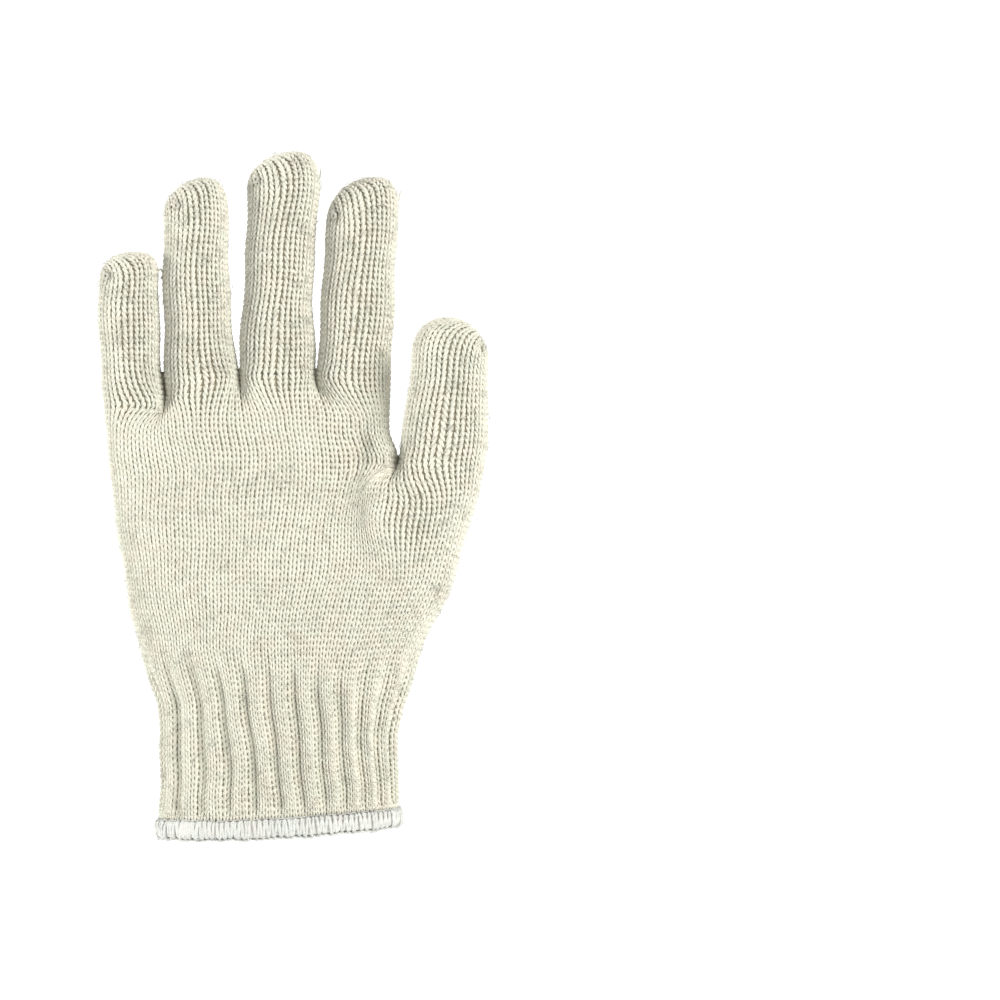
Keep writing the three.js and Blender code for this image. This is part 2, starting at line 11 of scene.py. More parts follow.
import bpy
import numpy as np
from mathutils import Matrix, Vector


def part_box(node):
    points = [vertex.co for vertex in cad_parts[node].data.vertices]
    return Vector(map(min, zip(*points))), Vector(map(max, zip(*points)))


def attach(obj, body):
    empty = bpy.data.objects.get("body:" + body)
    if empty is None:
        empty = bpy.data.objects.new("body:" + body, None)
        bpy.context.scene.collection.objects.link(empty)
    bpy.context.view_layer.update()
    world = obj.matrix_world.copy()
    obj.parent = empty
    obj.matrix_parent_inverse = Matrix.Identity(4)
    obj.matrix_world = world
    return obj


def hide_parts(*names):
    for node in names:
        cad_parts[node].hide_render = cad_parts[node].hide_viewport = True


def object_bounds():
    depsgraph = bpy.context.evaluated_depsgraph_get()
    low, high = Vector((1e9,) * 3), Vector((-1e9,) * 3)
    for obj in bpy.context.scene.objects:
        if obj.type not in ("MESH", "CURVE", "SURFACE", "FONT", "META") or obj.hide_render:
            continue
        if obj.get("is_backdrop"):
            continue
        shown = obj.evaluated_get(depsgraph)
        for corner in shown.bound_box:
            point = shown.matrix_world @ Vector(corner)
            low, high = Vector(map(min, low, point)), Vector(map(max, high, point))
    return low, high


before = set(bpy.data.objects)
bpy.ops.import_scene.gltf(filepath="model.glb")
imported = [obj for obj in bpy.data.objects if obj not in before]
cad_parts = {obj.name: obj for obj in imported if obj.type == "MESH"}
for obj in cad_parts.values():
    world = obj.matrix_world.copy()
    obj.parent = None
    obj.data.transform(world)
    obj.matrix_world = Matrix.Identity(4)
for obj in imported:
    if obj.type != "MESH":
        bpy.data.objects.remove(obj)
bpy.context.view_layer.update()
MM = 0.001

# %% [markdown]
# ## Camera
# The glove was photographed from straight in front of its palm, with a long lens, and it stands in the left
# half of the picture. A camera moved to the side by the same amount shows it there without any lens shift.
# Its distance and focal length are chosen together, so that the picture is a known width at the glove.

# %% Camera
PICTURE_WIDTH = 351.5 * MM      # what the picture spans at the glove
PICTURE_CENTRE_X = 77.7 * MM    # where the picture's centre lies, from the middle of the cuff
PICTURE_CENTRE_Z = 118.5 * MM
CAMERA_DISTANCE = 2.2
SENSOR_WIDTH = 36.0             # millimetres, as Blender counts sensors and lenses

camera_data = bpy.data.cameras.new("camera")
camera_data.sensor_width = SENSOR_WIDTH
camera_data.lens = SENSOR_WIDTH * CAMERA_DISTANCE / PICTURE_WIDTH
camera_data.clip_end = 20.0
camera = bpy.data.objects.new("camera", camera_data)
camera.location = (PICTURE_CENTRE_X, -CAMERA_DISTANCE, PICTURE_CENTRE_Z)
camera.rotation_euler = (math.radians(90), 0, 0)
bpy.context.collection.objects.link(camera)
bpy.context.scene.camera = camera
print("lens", round(camera_data.lens, 1), "mm")

# %% [markdown]
# ## The glove's form
# Every stitch needs a place on the glove. Knitters count in wales (columns of stitches) and courses (rows),
# so the form is a function of the same two numbers. The heights come from the frame, and the tables of
# shares below say how the glove widens and narrows, as they do in the CAD step.

# %% Sizes and tables
RIB_DEPTH = 2.4 * MM             # how deep the wale between two ribs is drawn in
HEM_PULL = 0.58                  # how far the hem draws the knit in, as a share of a groove
CUFF_WIDTH = 84.4 * MM
CUFF_DEPTH = 39.0 * MM
CUFF_SWAY = 0.9 * MM             # how far the cuff's top stands to the thumb's side
HEM_HEIGHT = 6.6 * MM
HEM_THREAD = 1.2 * MM
HEM_TILT = 4.2 * MM              # how much higher the hem is on the thumb's side
PALM_DEPTH = 29.0 * MM
HAND_WIDTH = 101.4 * MM
FINGER_LENGTH = 77.4 * MM
HAND_SHIFT = -11.2 * MM
THUMB_GAP = 2.6 * MM             # between the index finger and the thumb
THUMB_FORWARD = 11.0 * MM        # of the thumb's root
THUMB_REACH = 15.0 * MM          # what its tip adds
CUFF_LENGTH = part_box("rib_cuff")[1].z
CROTCH_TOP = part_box("palm")[1].z
PALM_LENGTH = CROTCH_TOP - CUFF_LENGTH
THUMB_CROTCH = CUFF_LENGTH + 67.6 * MM
CUFF_OVAL = 2.25                 # powers of the ovals: 2 is an ellipse, more is squarer
PALM_OVAL = 2.7
TUBE_OVAL = 2.15
CROWN_POWER = 2.3

TUBES = [
    {"node": "little_finger", "wales": 9, "width": 0.218, "length": 0.685, "depth": 0.93, "waist": 1.0,
     "top": 0.955, "lean": -0.022, "bow": -0.025, "curl": 0.10, "crown": 0.52, "skew": 0.03,
     "twist": 0.2, "knot_turn": 1.86, "knot_tilt": 50},
    {"node": "ring_finger", "wales": 10, "width": 0.2535, "length": 0.921, "depth": 0.90, "waist": 0.955,
     "top": 0.87, "lean": -0.022, "bow": -0.018, "curl": 0.09, "crown": 0.60, "skew": 0.11,
     "twist": 0.5, "knot_turn": 1.82, "knot_tilt": 52},
    {"node": "middle_finger", "wales": 10, "width": 0.265, "length": 1.0, "depth": 0.89, "waist": 0.93,
     "top": 0.935, "lean": 0.042, "bow": -0.008, "curl": 0.08, "crown": 0.52, "skew": 0.06,
     "twist": 1.0, "knot_turn": 1.80, "knot_tilt": 52},
    {"node": "index_finger", "wales": 10, "width": 0.2635, "length": 0.917, "depth": 0.90, "waist": 0.96,
     "top": 0.97, "lean": 0.060, "bow": 0.0, "curl": 0.09, "crown": 0.58, "skew": 0.11,
     "twist": 0.5, "knot_turn": 1.84, "knot_tilt": 54},
    {"node": "thumb", "wales": 11, "width": 0.306, "length": 0.623, "depth": 0.86, "waist": 0.945,
     "top": 0.88, "lean": 0.050, "bow": 0.020, "curl": 0.0, "crown": 0.54, "skew": -0.02,
     "twist": 0.6, "knot_turn": 1.16, "knot_tilt": 50},
]
for tube in TUBES:
    tube["width"] *= HAND_WIDTH
    tube["length"] *= FINGER_LENGTH
THUMB = TUBES[4]
FINGERS = TUBES[:4]
ROOT_DROPS = [0.140, 0.068, 0.0, 0.0, 0.055]   # of the roots' ends below the highest fork

CUFF_STATIONS = {
    "rise": [0.035, 0.108, 0.155, 0.330, 0.550, 0.710, 0.860, 1.000],
    "width": [1.026, 1.024, 1.016, 1.002, 1.000, 1.035, 1.112, 1.187],
    "depth": [1.020, 1.018, 1.008, 0.990, 0.980, 0.965, 0.945, 0.925],
    "rib": [0.0, 0.3, 0.9, 1.0, 1.0, 1.0, 0.7, 0.1],
    "pull": [1.0, 0.6, 0.1, 0.0, 0.0, 0.0, 0.0, 0.0],
}
PALM_STATIONS = {
    "rise": [0.0, 0.080, 0.225, 0.370, 0.520, 0.660, 0.810, 0.920, 1.0],
    "left": [0.0, 0.110, 0.305, 0.440, 0.550, 0.660, 0.745, 0.770, 0.840],
    "right": [0.0, 0.095, 0.300, 0.485, 0.630, 0.760, 0.890, 0.960, 1.0],
    "depth": [0.0, 0.10, 0.26, 0.40, 0.54, 0.68, 0.82, 0.93, 1.0],
}
HOLLOWS = [
    {"across": -0.150, "up": 0.020, "wide": 0.075, "tall": 0.170, "depth": 0.26},
    {"across": -0.050, "up": 0.090, "wide": 0.055, "tall": 0.130, "depth": -0.090},
    {"across": -0.540, "up": -0.190, "wide": 0.280, "tall": 0.280, "depth": 0.060},
]
GATHERS = [
    {"angle": 38, "length": 0.170, "width": 0.022, "height": 0.045},
    {"angle": 6, "length": 0.190, "width": 0.024, "height": 0.055},
    {"angle": -28, "length": 0.210, "width": 0.026, "height": 0.055},
    {"angle": -48, "length": 0.270, "width": 0.036, "height": 0.170},
]
print("palm", round(PALM_LENGTH / MM, 1), "mm long, thumb's crotch at", round(THUMB_CROTCH / MM, 1), "mm")

# %% [markdown]
# The finger roots stand side by side, so the edges between them add up from the little finger's side, and so
# do the wales under each finger.

# %% Places that follow from the sizes
HAND_WALES = sum(tube["wales"] for tube in FINGERS)
FACE_WALES = HAND_WALES + THUMB["wales"]
ROUND_WALES = 2 * FACE_WALES
ribs = ROUND_WALES // 4
finger_span = sum(tube["width"] for tube in FINGERS)
edges = [HAND_SHIFT - finger_span / 2]
for tube in FINGERS:
    edges.append(edges[-1] + tube["width"])
first_wale = [0]
for tube in FINGERS:
    first_wale.append(first_wale[-1] + tube["wales"])
INDEX_EDGE = edges[4]
THUMB_LEFT = INDEX_EDGE + THUMB_GAP
THUMB_RIGHT = THUMB_LEFT + THUMB["width"]
HAND_SHARE = finger_span / (finger_span + THUMB["width"])
CUFF_TOP_HALF = CUFF_WIDTH / 2 * CUFF_STATIONS["width"][-1]
CUFF_TOP_DEPTH = CUFF_DEPTH / 2 * CUFF_STATIONS["depth"][-1]
COURSE = 2.05 * MM              # height of one row of stitches
print("wales round the cuff", ROUND_WALES, "in", ribs, "ribs")


# %% Small helpers
def mix(start, end, share):
    return start + (end - start) * share


def smooth(value):
    value = np.clip(value, 0, 1)
    return value ** 2 * (3 - 2 * value)


def station(table, column, rise):
    return np.interp(rise, table["rise"], table[column])


def half_oval(half_width, half_depth, power, shares):
    """Points at shares of an oval's half outline, from its left end to its right end."""
    angle = np.linspace(0, math.pi, 181)
    across = -half_width * np.sign(np.cos(angle)) * np.abs(np.cos(angle)) ** (2 / power)
    out = half_depth * np.abs(np.sin(angle)) ** (2 / power)
    steps = np.hypot(np.diff(across), np.diff(out))
    walked = np.concatenate([[0.0], np.cumsum(steps)])
    place = np.clip(shares, 0, 1) * walked[-1]
    return np.interp(place, walked, across), np.interp(place, walked, out)


def tube_outline(half_width, half_depth, turn):
    """A finger's own oval. Turn runs 0 to 1 over the front and on to 2 over the back."""
    angle = math.pi * turn
    across = -half_width * np.sign(np.cos(angle)) * np.abs(np.cos(angle)) ** (2 / TUBE_OVAL)
    out = half_depth * np.sign(np.sin(angle)) * np.abs(np.sin(angle)) ** (2 / TUBE_OVAL)
    return across, out


def ring_faces(count, lower, upper):
    """The faces between two rings of points, from the number of each ring's first point."""
    around = [(place, (place + 1) % count) for place in range(count)]
    return [(lower + a, lower + b, upper + b, upper + a) for a, b in around]


def mesh_object(name, points, faces, material=None, rounded_look=True):
    """A new object in the scene, made of points and faces."""
    mesh = bpy.data.meshes.new(name)
    mesh.from_pydata(points, [], faces)
    if material is not None:
        mesh.materials.append(material)
    if rounded_look:
        mesh.polygons.foreach_set("use_smooth", [True] * len(mesh.polygons))
    made = bpy.data.objects.new(name, mesh)
    bpy.context.collection.objects.link(made)
    return made


# %% [markdown]
# ## Cuff and palm rows
# A row of the cuff or the palm is an oval. The front of the hand is the negative side of Y, so a place on the
# row is a share of the half outline and a face, front or back. Towards the finger roots and towards the
# thumb's crotch the one oval parts into several, which leaves the soft valleys between the fingers.


# %% Rows of the cuff
def hem_rise(x):
    return HEM_TILT * np.maximum(0, (x / CUFF_WIDTH + 0.28) / 0.8) ** 1.5


def fold_round(place, total):
    """A place on a closed row as a share of its face, and the face: -1 in front, +1 behind."""
    place = np.mod(place, total)
    front = place <= total / 2
    share = np.where(front, place, total - place) / (total / 2)
    return share, np.where(front, -1.0, 1.0)


def plain_cuff_row(wale, height):
    rise = height / CUFF_LENGTH
    half_width = CUFF_WIDTH / 2 * station(CUFF_STATIONS, "width", rise)
    half_depth = CUFF_DEPTH / 2 * station(CUFF_STATIONS, "depth", rise)
    share, face = fold_round(wale, ROUND_WALES)
    across, out = half_oval(half_width, half_depth, CUFF_OVAL, share)
    x = across + CUFF_SWAY * smooth(rise)
    fade = 1 - smooth((height - HEM_HEIGHT) / (3.5 * HEM_HEIGHT))
    return np.stack([x, face * out, height + hem_rise(x) * fade], axis=-1)


def inward(row, wale, height):
    """The level direction into the glove at each place of a row."""
    along = row(wale + 0.4, height) - row(wale - 0.4, height)
    along /= np.linalg.norm(along[:, :2], axis=1, keepdims=True)
    return np.stack([-along[:, 1], along[:, 0], np.zeros(len(wale))], axis=-1)


RIB_WALES = 4
GROOVE_WALE = 2.5               # the wale of each rib that is drawn in


def sunk(wale, rib, pull):
    """How deep a wale is drawn in between two ribs, as a share of the groove."""
    away = np.abs(np.mod(wale - GROOVE_WALE + RIB_WALES / 2, RIB_WALES) - RIB_WALES / 2)
    groove = np.interp(away, [0, 0.45, 1.05, 1.6, 2.0], [1.0, 0.95, 0.28, 0.0, 0.0])
    return np.maximum(groove * rib, HEM_PULL * pull)


RIB_DRIFT = 2.6                 # wales by which the ribs lean over in the middle of the front


def drifted(wale, height):
    """The ribs of the front lean over towards the thumb's side on their way down to the hem."""
    share, face = fold_round(wale, ROUND_WALES)
    fall = 1 - smooth((height - HEM_HEIGHT) / (CUFF_LENGTH - HEM_HEIGHT))
    return wale + RIB_DRIFT * fall * (4 * share * (1 - share)) ** 2 * (face < 0)


def cuff_row(wale, height):
    rise = height / CUFF_LENGTH
    depth = RIB_DEPTH * sunk(wale, station(CUFF_STATIONS, "rib", rise), station(CUFF_STATIONS, "pull", rise))
    place = drifted(wale, height)
    return plain_cuff_row(place, height) + inward(plain_cuff_row, place, height) * depth[:, None]


# %% Rows of the palm up to the thumb's crotch
def side_of_thumb(x):
    return smooth((x - 0.2 * INDEX_EDGE) / (THUMB_RIGHT - 0.4 * INDEX_EDGE))


def forward_at(x, z):
    """How far the fabric stands forward on the thumb's side."""
    growth = smooth((z - CUFF_LENGTH) / (THUMB_CROTCH - CUFF_LENGTH))
    fade = 1 - smooth((z - THUMB_CROTCH) / (0.7 * (CROTCH_TOP - THUMB_CROTCH)))
    return -THUMB_FORWARD * growth * fade * side_of_thumb(x)


def relief(x, z):
    """Hollows and gathered folds of the palm's front."""
    out = np.zeros_like(x)
    for hollow in HOLLOWS:
        dx = x - THUMB_LEFT - hollow["across"] * PALM_LENGTH
        dz = z - THUMB_CROTCH - hollow["up"] * PALM_LENGTH
        away = np.hypot(dx / hollow["wide"], dz / hollow["tall"]) / PALM_LENGTH
        out -= hollow["depth"] * PALM_DEPTH * np.exp(-(away ** 2))
    for gather in GATHERS:
        direction = math.radians(180 - gather["angle"])
        dx = x - THUMB_LEFT
        dz = z - THUMB_CROTCH
        along = (dx * math.cos(direction) + dz * math.sin(direction)) / (gather["length"] * PALM_LENGTH)
        aside = (-dx * math.sin(direction) + dz * math.cos(direction)) / (gather["width"] * PALM_LENGTH)
        crest = np.sin(math.pi * np.clip(along, 0, 1)) * np.exp(-(aside ** 2))
        out += gather["height"] * PALM_DEPTH * crest
    return out


def left_edge(spread):
    return mix(CUFF_SWAY - CUFF_TOP_HALF, edges[0], spread)


PART_FROM = 0.44                # where the thumb's oval starts to part from the hand's, as a share
PART_POWER = 6


def lower_row(wale, z):
    """A row between the cuff and the thumb's crotch, as points."""
    rise = (z - CUFF_LENGTH) / (THUMB_CROTCH - CUFF_LENGTH)
    left = left_edge(station(PALM_STATIONS, "left", rise))
    right = mix(CUFF_SWAY + CUFF_TOP_HALF, THUMB_RIGHT, station(PALM_STATIONS, "right", rise))
    half_depth = mix(CUFF_TOP_DEPTH, PALM_DEPTH / 2, station(PALM_STATIONS, "depth", rise))
    power = mix(CUFF_OVAL, PALM_OVAL, smooth(rise / 0.6))
    share, face = fold_round(wale, ROUND_WALES)
    whole_x, whole_out = half_oval((right - left) / 2, half_depth, power, share)
    whole_x = whole_x + (left + right) / 2
    parted = smooth((rise - PART_FROM) / (1 - PART_FROM)) ** PART_POWER
    valley = mix(mix(left, right, HAND_SHARE), THUMB_LEFT, smooth(rise))
    place = share * FACE_WALES
    hand_x, hand_out = half_oval((valley - left) / 2, half_depth, power, place / HAND_WALES)
    turn = np.clip((place - HAND_WALES) / THUMB["wales"], 0, 1)
    thumb_x, thumb_out = tube_outline((right - valley) / 2, THUMB["width"] * THUMB["depth"] / 2, turn)
    in_hand = place <= HAND_WALES
    own_x = np.where(in_hand, (left + valley) / 2 + hand_x, (valley + right) / 2 + thumb_x)
    own_out = np.where(in_hand, hand_out, thumb_out)
    x = mix(whole_x, own_x, parted)
    out = mix(whole_out, own_out, parted)
    keep = np.where(in_hand, 1.0, 1 - parted)
    pressed = np.where(face < 0, relief(x, np.full_like(x, z)) * np.clip(out / half_depth, 0, 1) * keep, 0)
    y = forward_at(x, z) + face * (out + pressed)
    return np.stack([x, y, np.full_like(x, z)], axis=-1)


# %% [markdown]
# The ribs of the cuff fade out over the heel of the hand, and the hem pulls the last rows in. One function
# picks the row that a height belongs to, so that the rest of the lesson can walk up the glove.


# %% One row of the whole tube
RIB_FADE = 9.0 * MM             # how far the ribs run on into the palm


def whole_row(wale, height):
    if height <= CUFF_LENGTH:
        return cuff_row(wale, height)
    rib = 0.1 * (1 - smooth((height - CUFF_LENGTH) / RIB_FADE))
    depth = RIB_DEPTH * sunk(wale, rib, 0.0)
    return lower_row(wale, height) + inward(lower_row, wale, height) * depth[:, None]


# %% Rows of the hand above the thumb's crotch
def finger_of(place):
    """Which finger a place on the hand's front lies under, and how far across it."""
    finger = np.clip(np.searchsorted(first_wale, place, side="right") - 1, 0, 3)
    wales = np.array([tube["wales"] for tube in FINGERS])[finger]
    return finger, (place - np.array(first_wale)[finger]) / wales


def hand_root(wale):
    """Height of the finger root above each wale of the hand's row."""
    share, _ = fold_round(wale, 2 * HAND_WALES)
    finger, turn = finger_of(share * HAND_WALES)
    drops = np.array(ROOT_DROPS)
    return CROTCH_TOP - mix(drops[finger], drops[finger + 1], turn) * PALM_LENGTH


FORK_DEPTH = 0.17               # of the valleys between the fingers, as a share of the palm


def hand_points(wale, level):
    """Points of the hand, level 0 at the thumb's crotch and 1 at the finger roots, one level a point."""
    share, face = fold_round(wale, 2 * HAND_WALES)
    place = share * HAND_WALES
    finger, turn = finger_of(place)
    nominal = mix(THUMB_CROTCH, CROTCH_TOP, level)
    spread = mix(PALM_STATIONS["left"][-1], 1.0, level)
    left = left_edge(spread)
    right = mix(THUMB_LEFT, INDEX_EDGE, smooth(level * 2.5))
    base_half = (THUMB_LEFT - left_edge(PALM_STATIONS["left"][-1])) / 2
    unit_x, out_hand = half_oval(base_half, PALM_DEPTH / 2, PALM_OVAL, share)
    x_hand = (left + right) / 2 + unit_x * (right - left) / 2 / base_half
    middle = np.array([(edges[i] + edges[i + 1]) / 2 for i in range(4)])[finger]
    width = np.array([tube["width"] for tube in FINGERS])[finger]
    depth = np.array([tube["depth"] for tube in FINGERS])[finger]
    own_x, own_out = tube_outline(width / 2, width * depth / 2, turn)
    own_out = np.abs(own_out)
    parted = smooth(1 - (CROTCH_TOP - nominal) / (FORK_DEPTH * PALM_LENGTH))
    x = mix(x_hand, middle + own_x, parted)
    out = mix(out_hand, own_out, parted)
    z = mix(THUMB_CROTCH, hand_root(wale), level)
    pressed = relief(x, z) * np.clip(out / PALM_DEPTH * 2, 0, 1) * (1 - parted)
    y = forward_at(x, z) + face * (out + np.where(face < 0, pressed, 0))
    return np.stack([x, y, z], axis=-1)


print("rows of the cuff, the palm and the hand are ready")

# %% [markdown]
# ## Fingers and thumb
# A finger is a tube of knit that was started at its tip, where a few loops were drawn together into a knot.
# The knot doesn't sit on top. It lies a good way down one side, so the wales bend over the round tip towards
# it. Turning the round tip's own grid of directions towards the knot, more and more from the shaft to the
# pole, bends them in the same way and leaves the outline as it is.


# %% Stands of the tubes
def tube_stand(index):
    tube = TUBES[index]
    stand = {"left": THUMB_LEFT, "right": THUMB_RIGHT, "low": THUMB_CROTCH, "high": THUMB_CROTCH,
             "forward": THUMB_FORWARD, "reach": THUMB_REACH}
    if index < 4:
        stand["left"] = edges[index]
        stand["right"] = edges[index + 1]
        stand["low"] = CROTCH_TOP - ROOT_DROPS[index] * PALM_LENGTH
        stand["high"] = CROTCH_TOP - ROOT_DROPS[index + 1] * PALM_LENGTH
        stand["forward"] = 0.0
        stand["reach"] = 0.0
    stand["middle"] = (stand["low"] + stand["high"]) / 2
    stand["crown"] = tube["crown"] * tube["width"] * tube["top"]
    stand["shaft"] = tube["length"] - stand["crown"]
    angles = np.linspace(0, math.pi / 2, 91)
    radius = tube["width"] * (1 + tube["depth"]) / 4 * tube["top"]
    out = radius * (1 - np.sin(angles) ** CROWN_POWER) ** (1 / CROWN_POWER)
    up = stand["crown"] * np.sin(angles)
    stand["angles"] = angles
    stand["walked"] = np.concatenate([[0.0], np.cumsum(np.hypot(np.diff(out), np.diff(up)))])
    stand["end"] = stand["shaft"] + stand["walked"][-1]
    return stand


stands = [tube_stand(index) for index in range(len(TUBES))]
print("from root to knot in mm", [round(stand["end"] / MM) for stand in stands])


# %% Shape of a tube
TILT_ZONE = math.radians(35)    # how far below the round tip the wales begin to bend, as an angle


def tube_shape(index, turn, height, size, up):
    """Points of a tube at places round it and heights above its root's middle."""
    tube = TUBES[index]
    stand = stands[index]
    share = height / tube["length"]
    girth = mix(mix(1, tube["waist"], smooth(share / 0.35)), tube["top"], smooth((share - 0.35) / 0.5))
    half_width = tube["width"] * girth / 2 * size
    across, out = tube_outline(half_width, half_width * tube["depth"], turn)
    centre = (stand["left"] + stand["right"]) / 2 + tube["lean"] * np.maximum(0, height)
    centre = centre + tube["bow"] * tube["length"] * np.sin(math.pi * np.clip(share, 0, 1))
    centre = centre + tube["skew"] * tube["width"] * up ** 2
    settled = smooth(height / (0.3 * tube["length"]))
    x = centre + across
    forward = mix(side_of_thumb(x), side_of_thumb(centre), settled) * stand["forward"]
    curl = tube["curl"] * tube["length"] + stand["reach"]
    y = -forward - curl * np.maximum(0, share) ** 1.5 - out
    return np.stack([x, y, stand["middle"] + height], axis=-1)


def towards_knot(index, turn, angle):
    """Turns directions on the round tip towards the knot, fully at the pole and not at all far below it."""
    tube = TUBES[index]
    around = math.pi * turn
    flat = np.cos(angle)
    direction = np.stack([-np.cos(around) * flat, -np.sin(around) * flat, np.sin(angle)], axis=-1)
    knot = math.pi * tube["knot_turn"]
    axis = np.array([math.sin(knot), -math.cos(knot), 0.0])
    by = math.radians(tube["knot_tilt"]) * smooth((angle + TILT_ZONE) / (math.pi / 2 + TILT_ZONE))
    by = by[:, None]
    along = (direction @ axis)[:, None] * axis
    turned = direction * np.cos(by) + np.cross(axis, direction) * np.sin(by) + along * (1 - np.cos(by))
    new_angle = np.arcsin(np.clip(turned[:, 2], -1, 1))
    new_turn = np.mod(np.arctan2(-turned[:, 1], -turned[:, 0]) / math.pi, 2)
    return new_turn, new_angle


def tube_row(index, turn, reach):
    """A row of a tube. Reach is measured along the knit, from the middle of its root."""
    tube = TUBES[index]
    stand = stands[index]
    twisted = turn + tube["twist"] / tube["wales"] * smooth(reach / stand["end"])
    if reach <= stand["shaft"] - TILT_ZONE * stand["crown"]:
        fold = 1 - np.abs(1 - np.mod(turn, 2))
        root = mix(stand["low"], stand["high"], fold)
        z = stand["middle"] + reach
        settled = smooth((z - root) / (0.3 * tube["length"]))
        height = z - mix(root, stand["middle"], settled)
        points = tube_shape(index, twisted, height, 1.0, 0.0)
        points[:, 2] = z
        return points
    if reach < stand["shaft"]:
        angle = (reach - stand["shaft"]) / stand["crown"]
    else:
        angle = np.interp(reach - stand["shaft"], stand["walked"], stand["angles"])
    new_turn, new_angle = towards_knot(index, twisted, np.full(len(turn), angle))
    up = np.sin(np.maximum(0, new_angle))
    size = (1 - np.minimum(up, 1) ** CROWN_POWER) ** (1 / CROWN_POWER)
    height = stand["shaft"] + stand["crown"] * np.where(new_angle < 0, new_angle, up)
    return tube_shape(index, new_turn, height, size, up)


# %% [markdown]
# ## Rows that run through the joins
# Knit doesn't stop where one of the CAD solids ends. A row near a root belongs to the palm in some wales
# and to the finger in others, so each of the three kinds of row, round the whole glove, round the hand
# and round one tube, hands over to its neighbour at the right height.


# %% Rows across the joins
def hand_wale(index, turn):
    """The place on the hand's row below a place round a finger."""
    turn = np.mod(turn, 2)
    fold = 1 - np.abs(1 - turn)
    place = first_wale[index] + fold * TUBES[index]["wales"]
    return np.where(turn <= 1, place, 2 * HAND_WALES - place)


def hand_row(wale, z):
    """A row round the four fingers' common part."""
    place = np.mod(wale, 2 * HAND_WALES)
    whole_wale = np.where(place <= HAND_WALES, place, place + 2 * THUMB["wales"])
    if z < THUMB_CROTCH:
        return whole_row(whole_wale, z)
    root = hand_root(wale)
    points = hand_points(wale, np.clip((z - THUMB_CROTCH) / (root - THUMB_CROTCH), 0, 1))
    share, face = fold_round(wale, 2 * HAND_WALES)
    finger, turn = finger_of(share * HAND_WALES)
    for index in range(4):
        above = (finger == index) & (z > root)
        if above.any():
            place = np.where(face < 0, turn, 2 - turn)[above]
            points[above] = tube_row(index, place, z - stands[index]["middle"])
    return points


def finger_row(index, turn, reach):
    """A row round one finger or the thumb, which runs on into the palm below the root."""
    stand = stands[index]
    z = stand["middle"] + reach
    points = tube_row(index, turn, reach)
    fold = 1 - np.abs(1 - np.mod(turn, 2))
    below = z < mix(stand["low"], stand["high"], fold)
    if not below.any():
        return points
    if index == 4:
        place = HAND_WALES + fold[below] * THUMB["wales"]
        place = np.where(np.mod(turn[below], 2) <= 1, place, ROUND_WALES - place)
        points[below] = whole_row(place, z)
    else:
        points[below] = hand_row(hand_wale(index, turn[below]), z)
    return points


print("rows run through from the hem to the knots")

# %% [markdown]
# ## Forms
# A form is a fine net over one part of the glove, like the former that a knitted glove is steamed on. Its
# UV map holds the wale and the course of each point, so a place in the knitting plan can be looked up on it.
# Real knit never lies quite evenly, so slow waves push the net about by some tenths of a millimetre. It is
# also drawn in at the forks, dimpled at each tip and pulled into a fold below the thumb, so those places are
# moved on the net before any stitch is laid.


# %% Make a form
NET = 128                       # wales and courses that one UV square holds
NET_MARGIN = 4
NET_SPARE = 3                   # wales by which a net overlaps itself on each side
PUCKER_SIZE = 6.5 * MM          # of the drawn-in knit at each fork
PUCKER_PULL = 2.6 * MM
DIMPLE_SIZE = 2.3 * MM
DIMPLE_DEPTH = 1.5 * MM
DIMPLE_DRAW = 0.30              # how far the knit round a dimple closes in on it, as a share
# one for each tip, in millimetres across and up
DIMPLES = [(-60.2, 196.8), (-35.3, 221.4), (-7.5, 230.6), (19.9, 217.9), (72.0, 171.2)]
WEB_PULL = 7.0 * MM             # of the fold below the thumb's crotch
WEB_WIDTH = 11.0 * MM
KINK_HEIGHT = 151.0 * MM
KINK_SHIFT = 3.0 * MM
forks = [(edges[finger], CROTCH_TOP - ROOT_DROPS[finger] * PALM_LENGTH) for finger in (1, 2, 3)]
forks.append((THUMB_LEFT - THUMB_GAP / 2, THUMB_CROTCH))


def dimple_place(index, x, z):
    """The point of a tube's front that lies at some place in the picture, and the way out of it."""
    turns = np.linspace(0, 1, 61)
    best = None
    for reach in np.linspace(0.75, 0.99, 49) * stands[index]["end"]:
        row = tube_row(index, turns, reach)
        off = np.hypot(row[:, 0] - x * MM, row[:, 2] - z * MM)
        if best is None or off.min() < best[0]:
            away = row[off.argmin()] - tube_row(index, np.array([0.0, 1.0]), reach).mean(axis=0)
            best = (off.min(), row[off.argmin()], away / np.linalg.norm(away))
    return best[1], best[2]


dimples = [dimple_place(index, x, z) for index, (x, z) in enumerate(DIMPLES)]


def puckered(points):
    """Draws the knit in towards the forks and into a dimple at each tip, where the yarn's end is sewn in."""
    points = points.copy()
    for centre, out in dimples:
        away = points - centre
        near = np.exp(-(away ** 2).sum(axis=1) / DIMPLE_SIZE ** 2)[:, None]
        points -= near * (DIMPLE_DRAW * away + DIMPLE_DEPTH * out)
    for fork_x, fork_z in forks:
        dx = points[:, 0] - fork_x
        dz = points[:, 2] - fork_z
        near = np.exp(-(dx ** 2 + dz ** 2) / PUCKER_SIZE ** 2)
        below = smooth(0.6 - dz / PUCKER_SIZE)
        pull = PUCKER_PULL * near * below / PUCKER_SIZE
        points[:, 0] -= dx * pull
        points[:, 2] -= dz * pull * 0.6
        points[:, 1] *= 1 - 0.35 * np.exp(-(dx ** 2 + dz ** 2) / (0.5 * PUCKER_SIZE) ** 2) * below
    return points


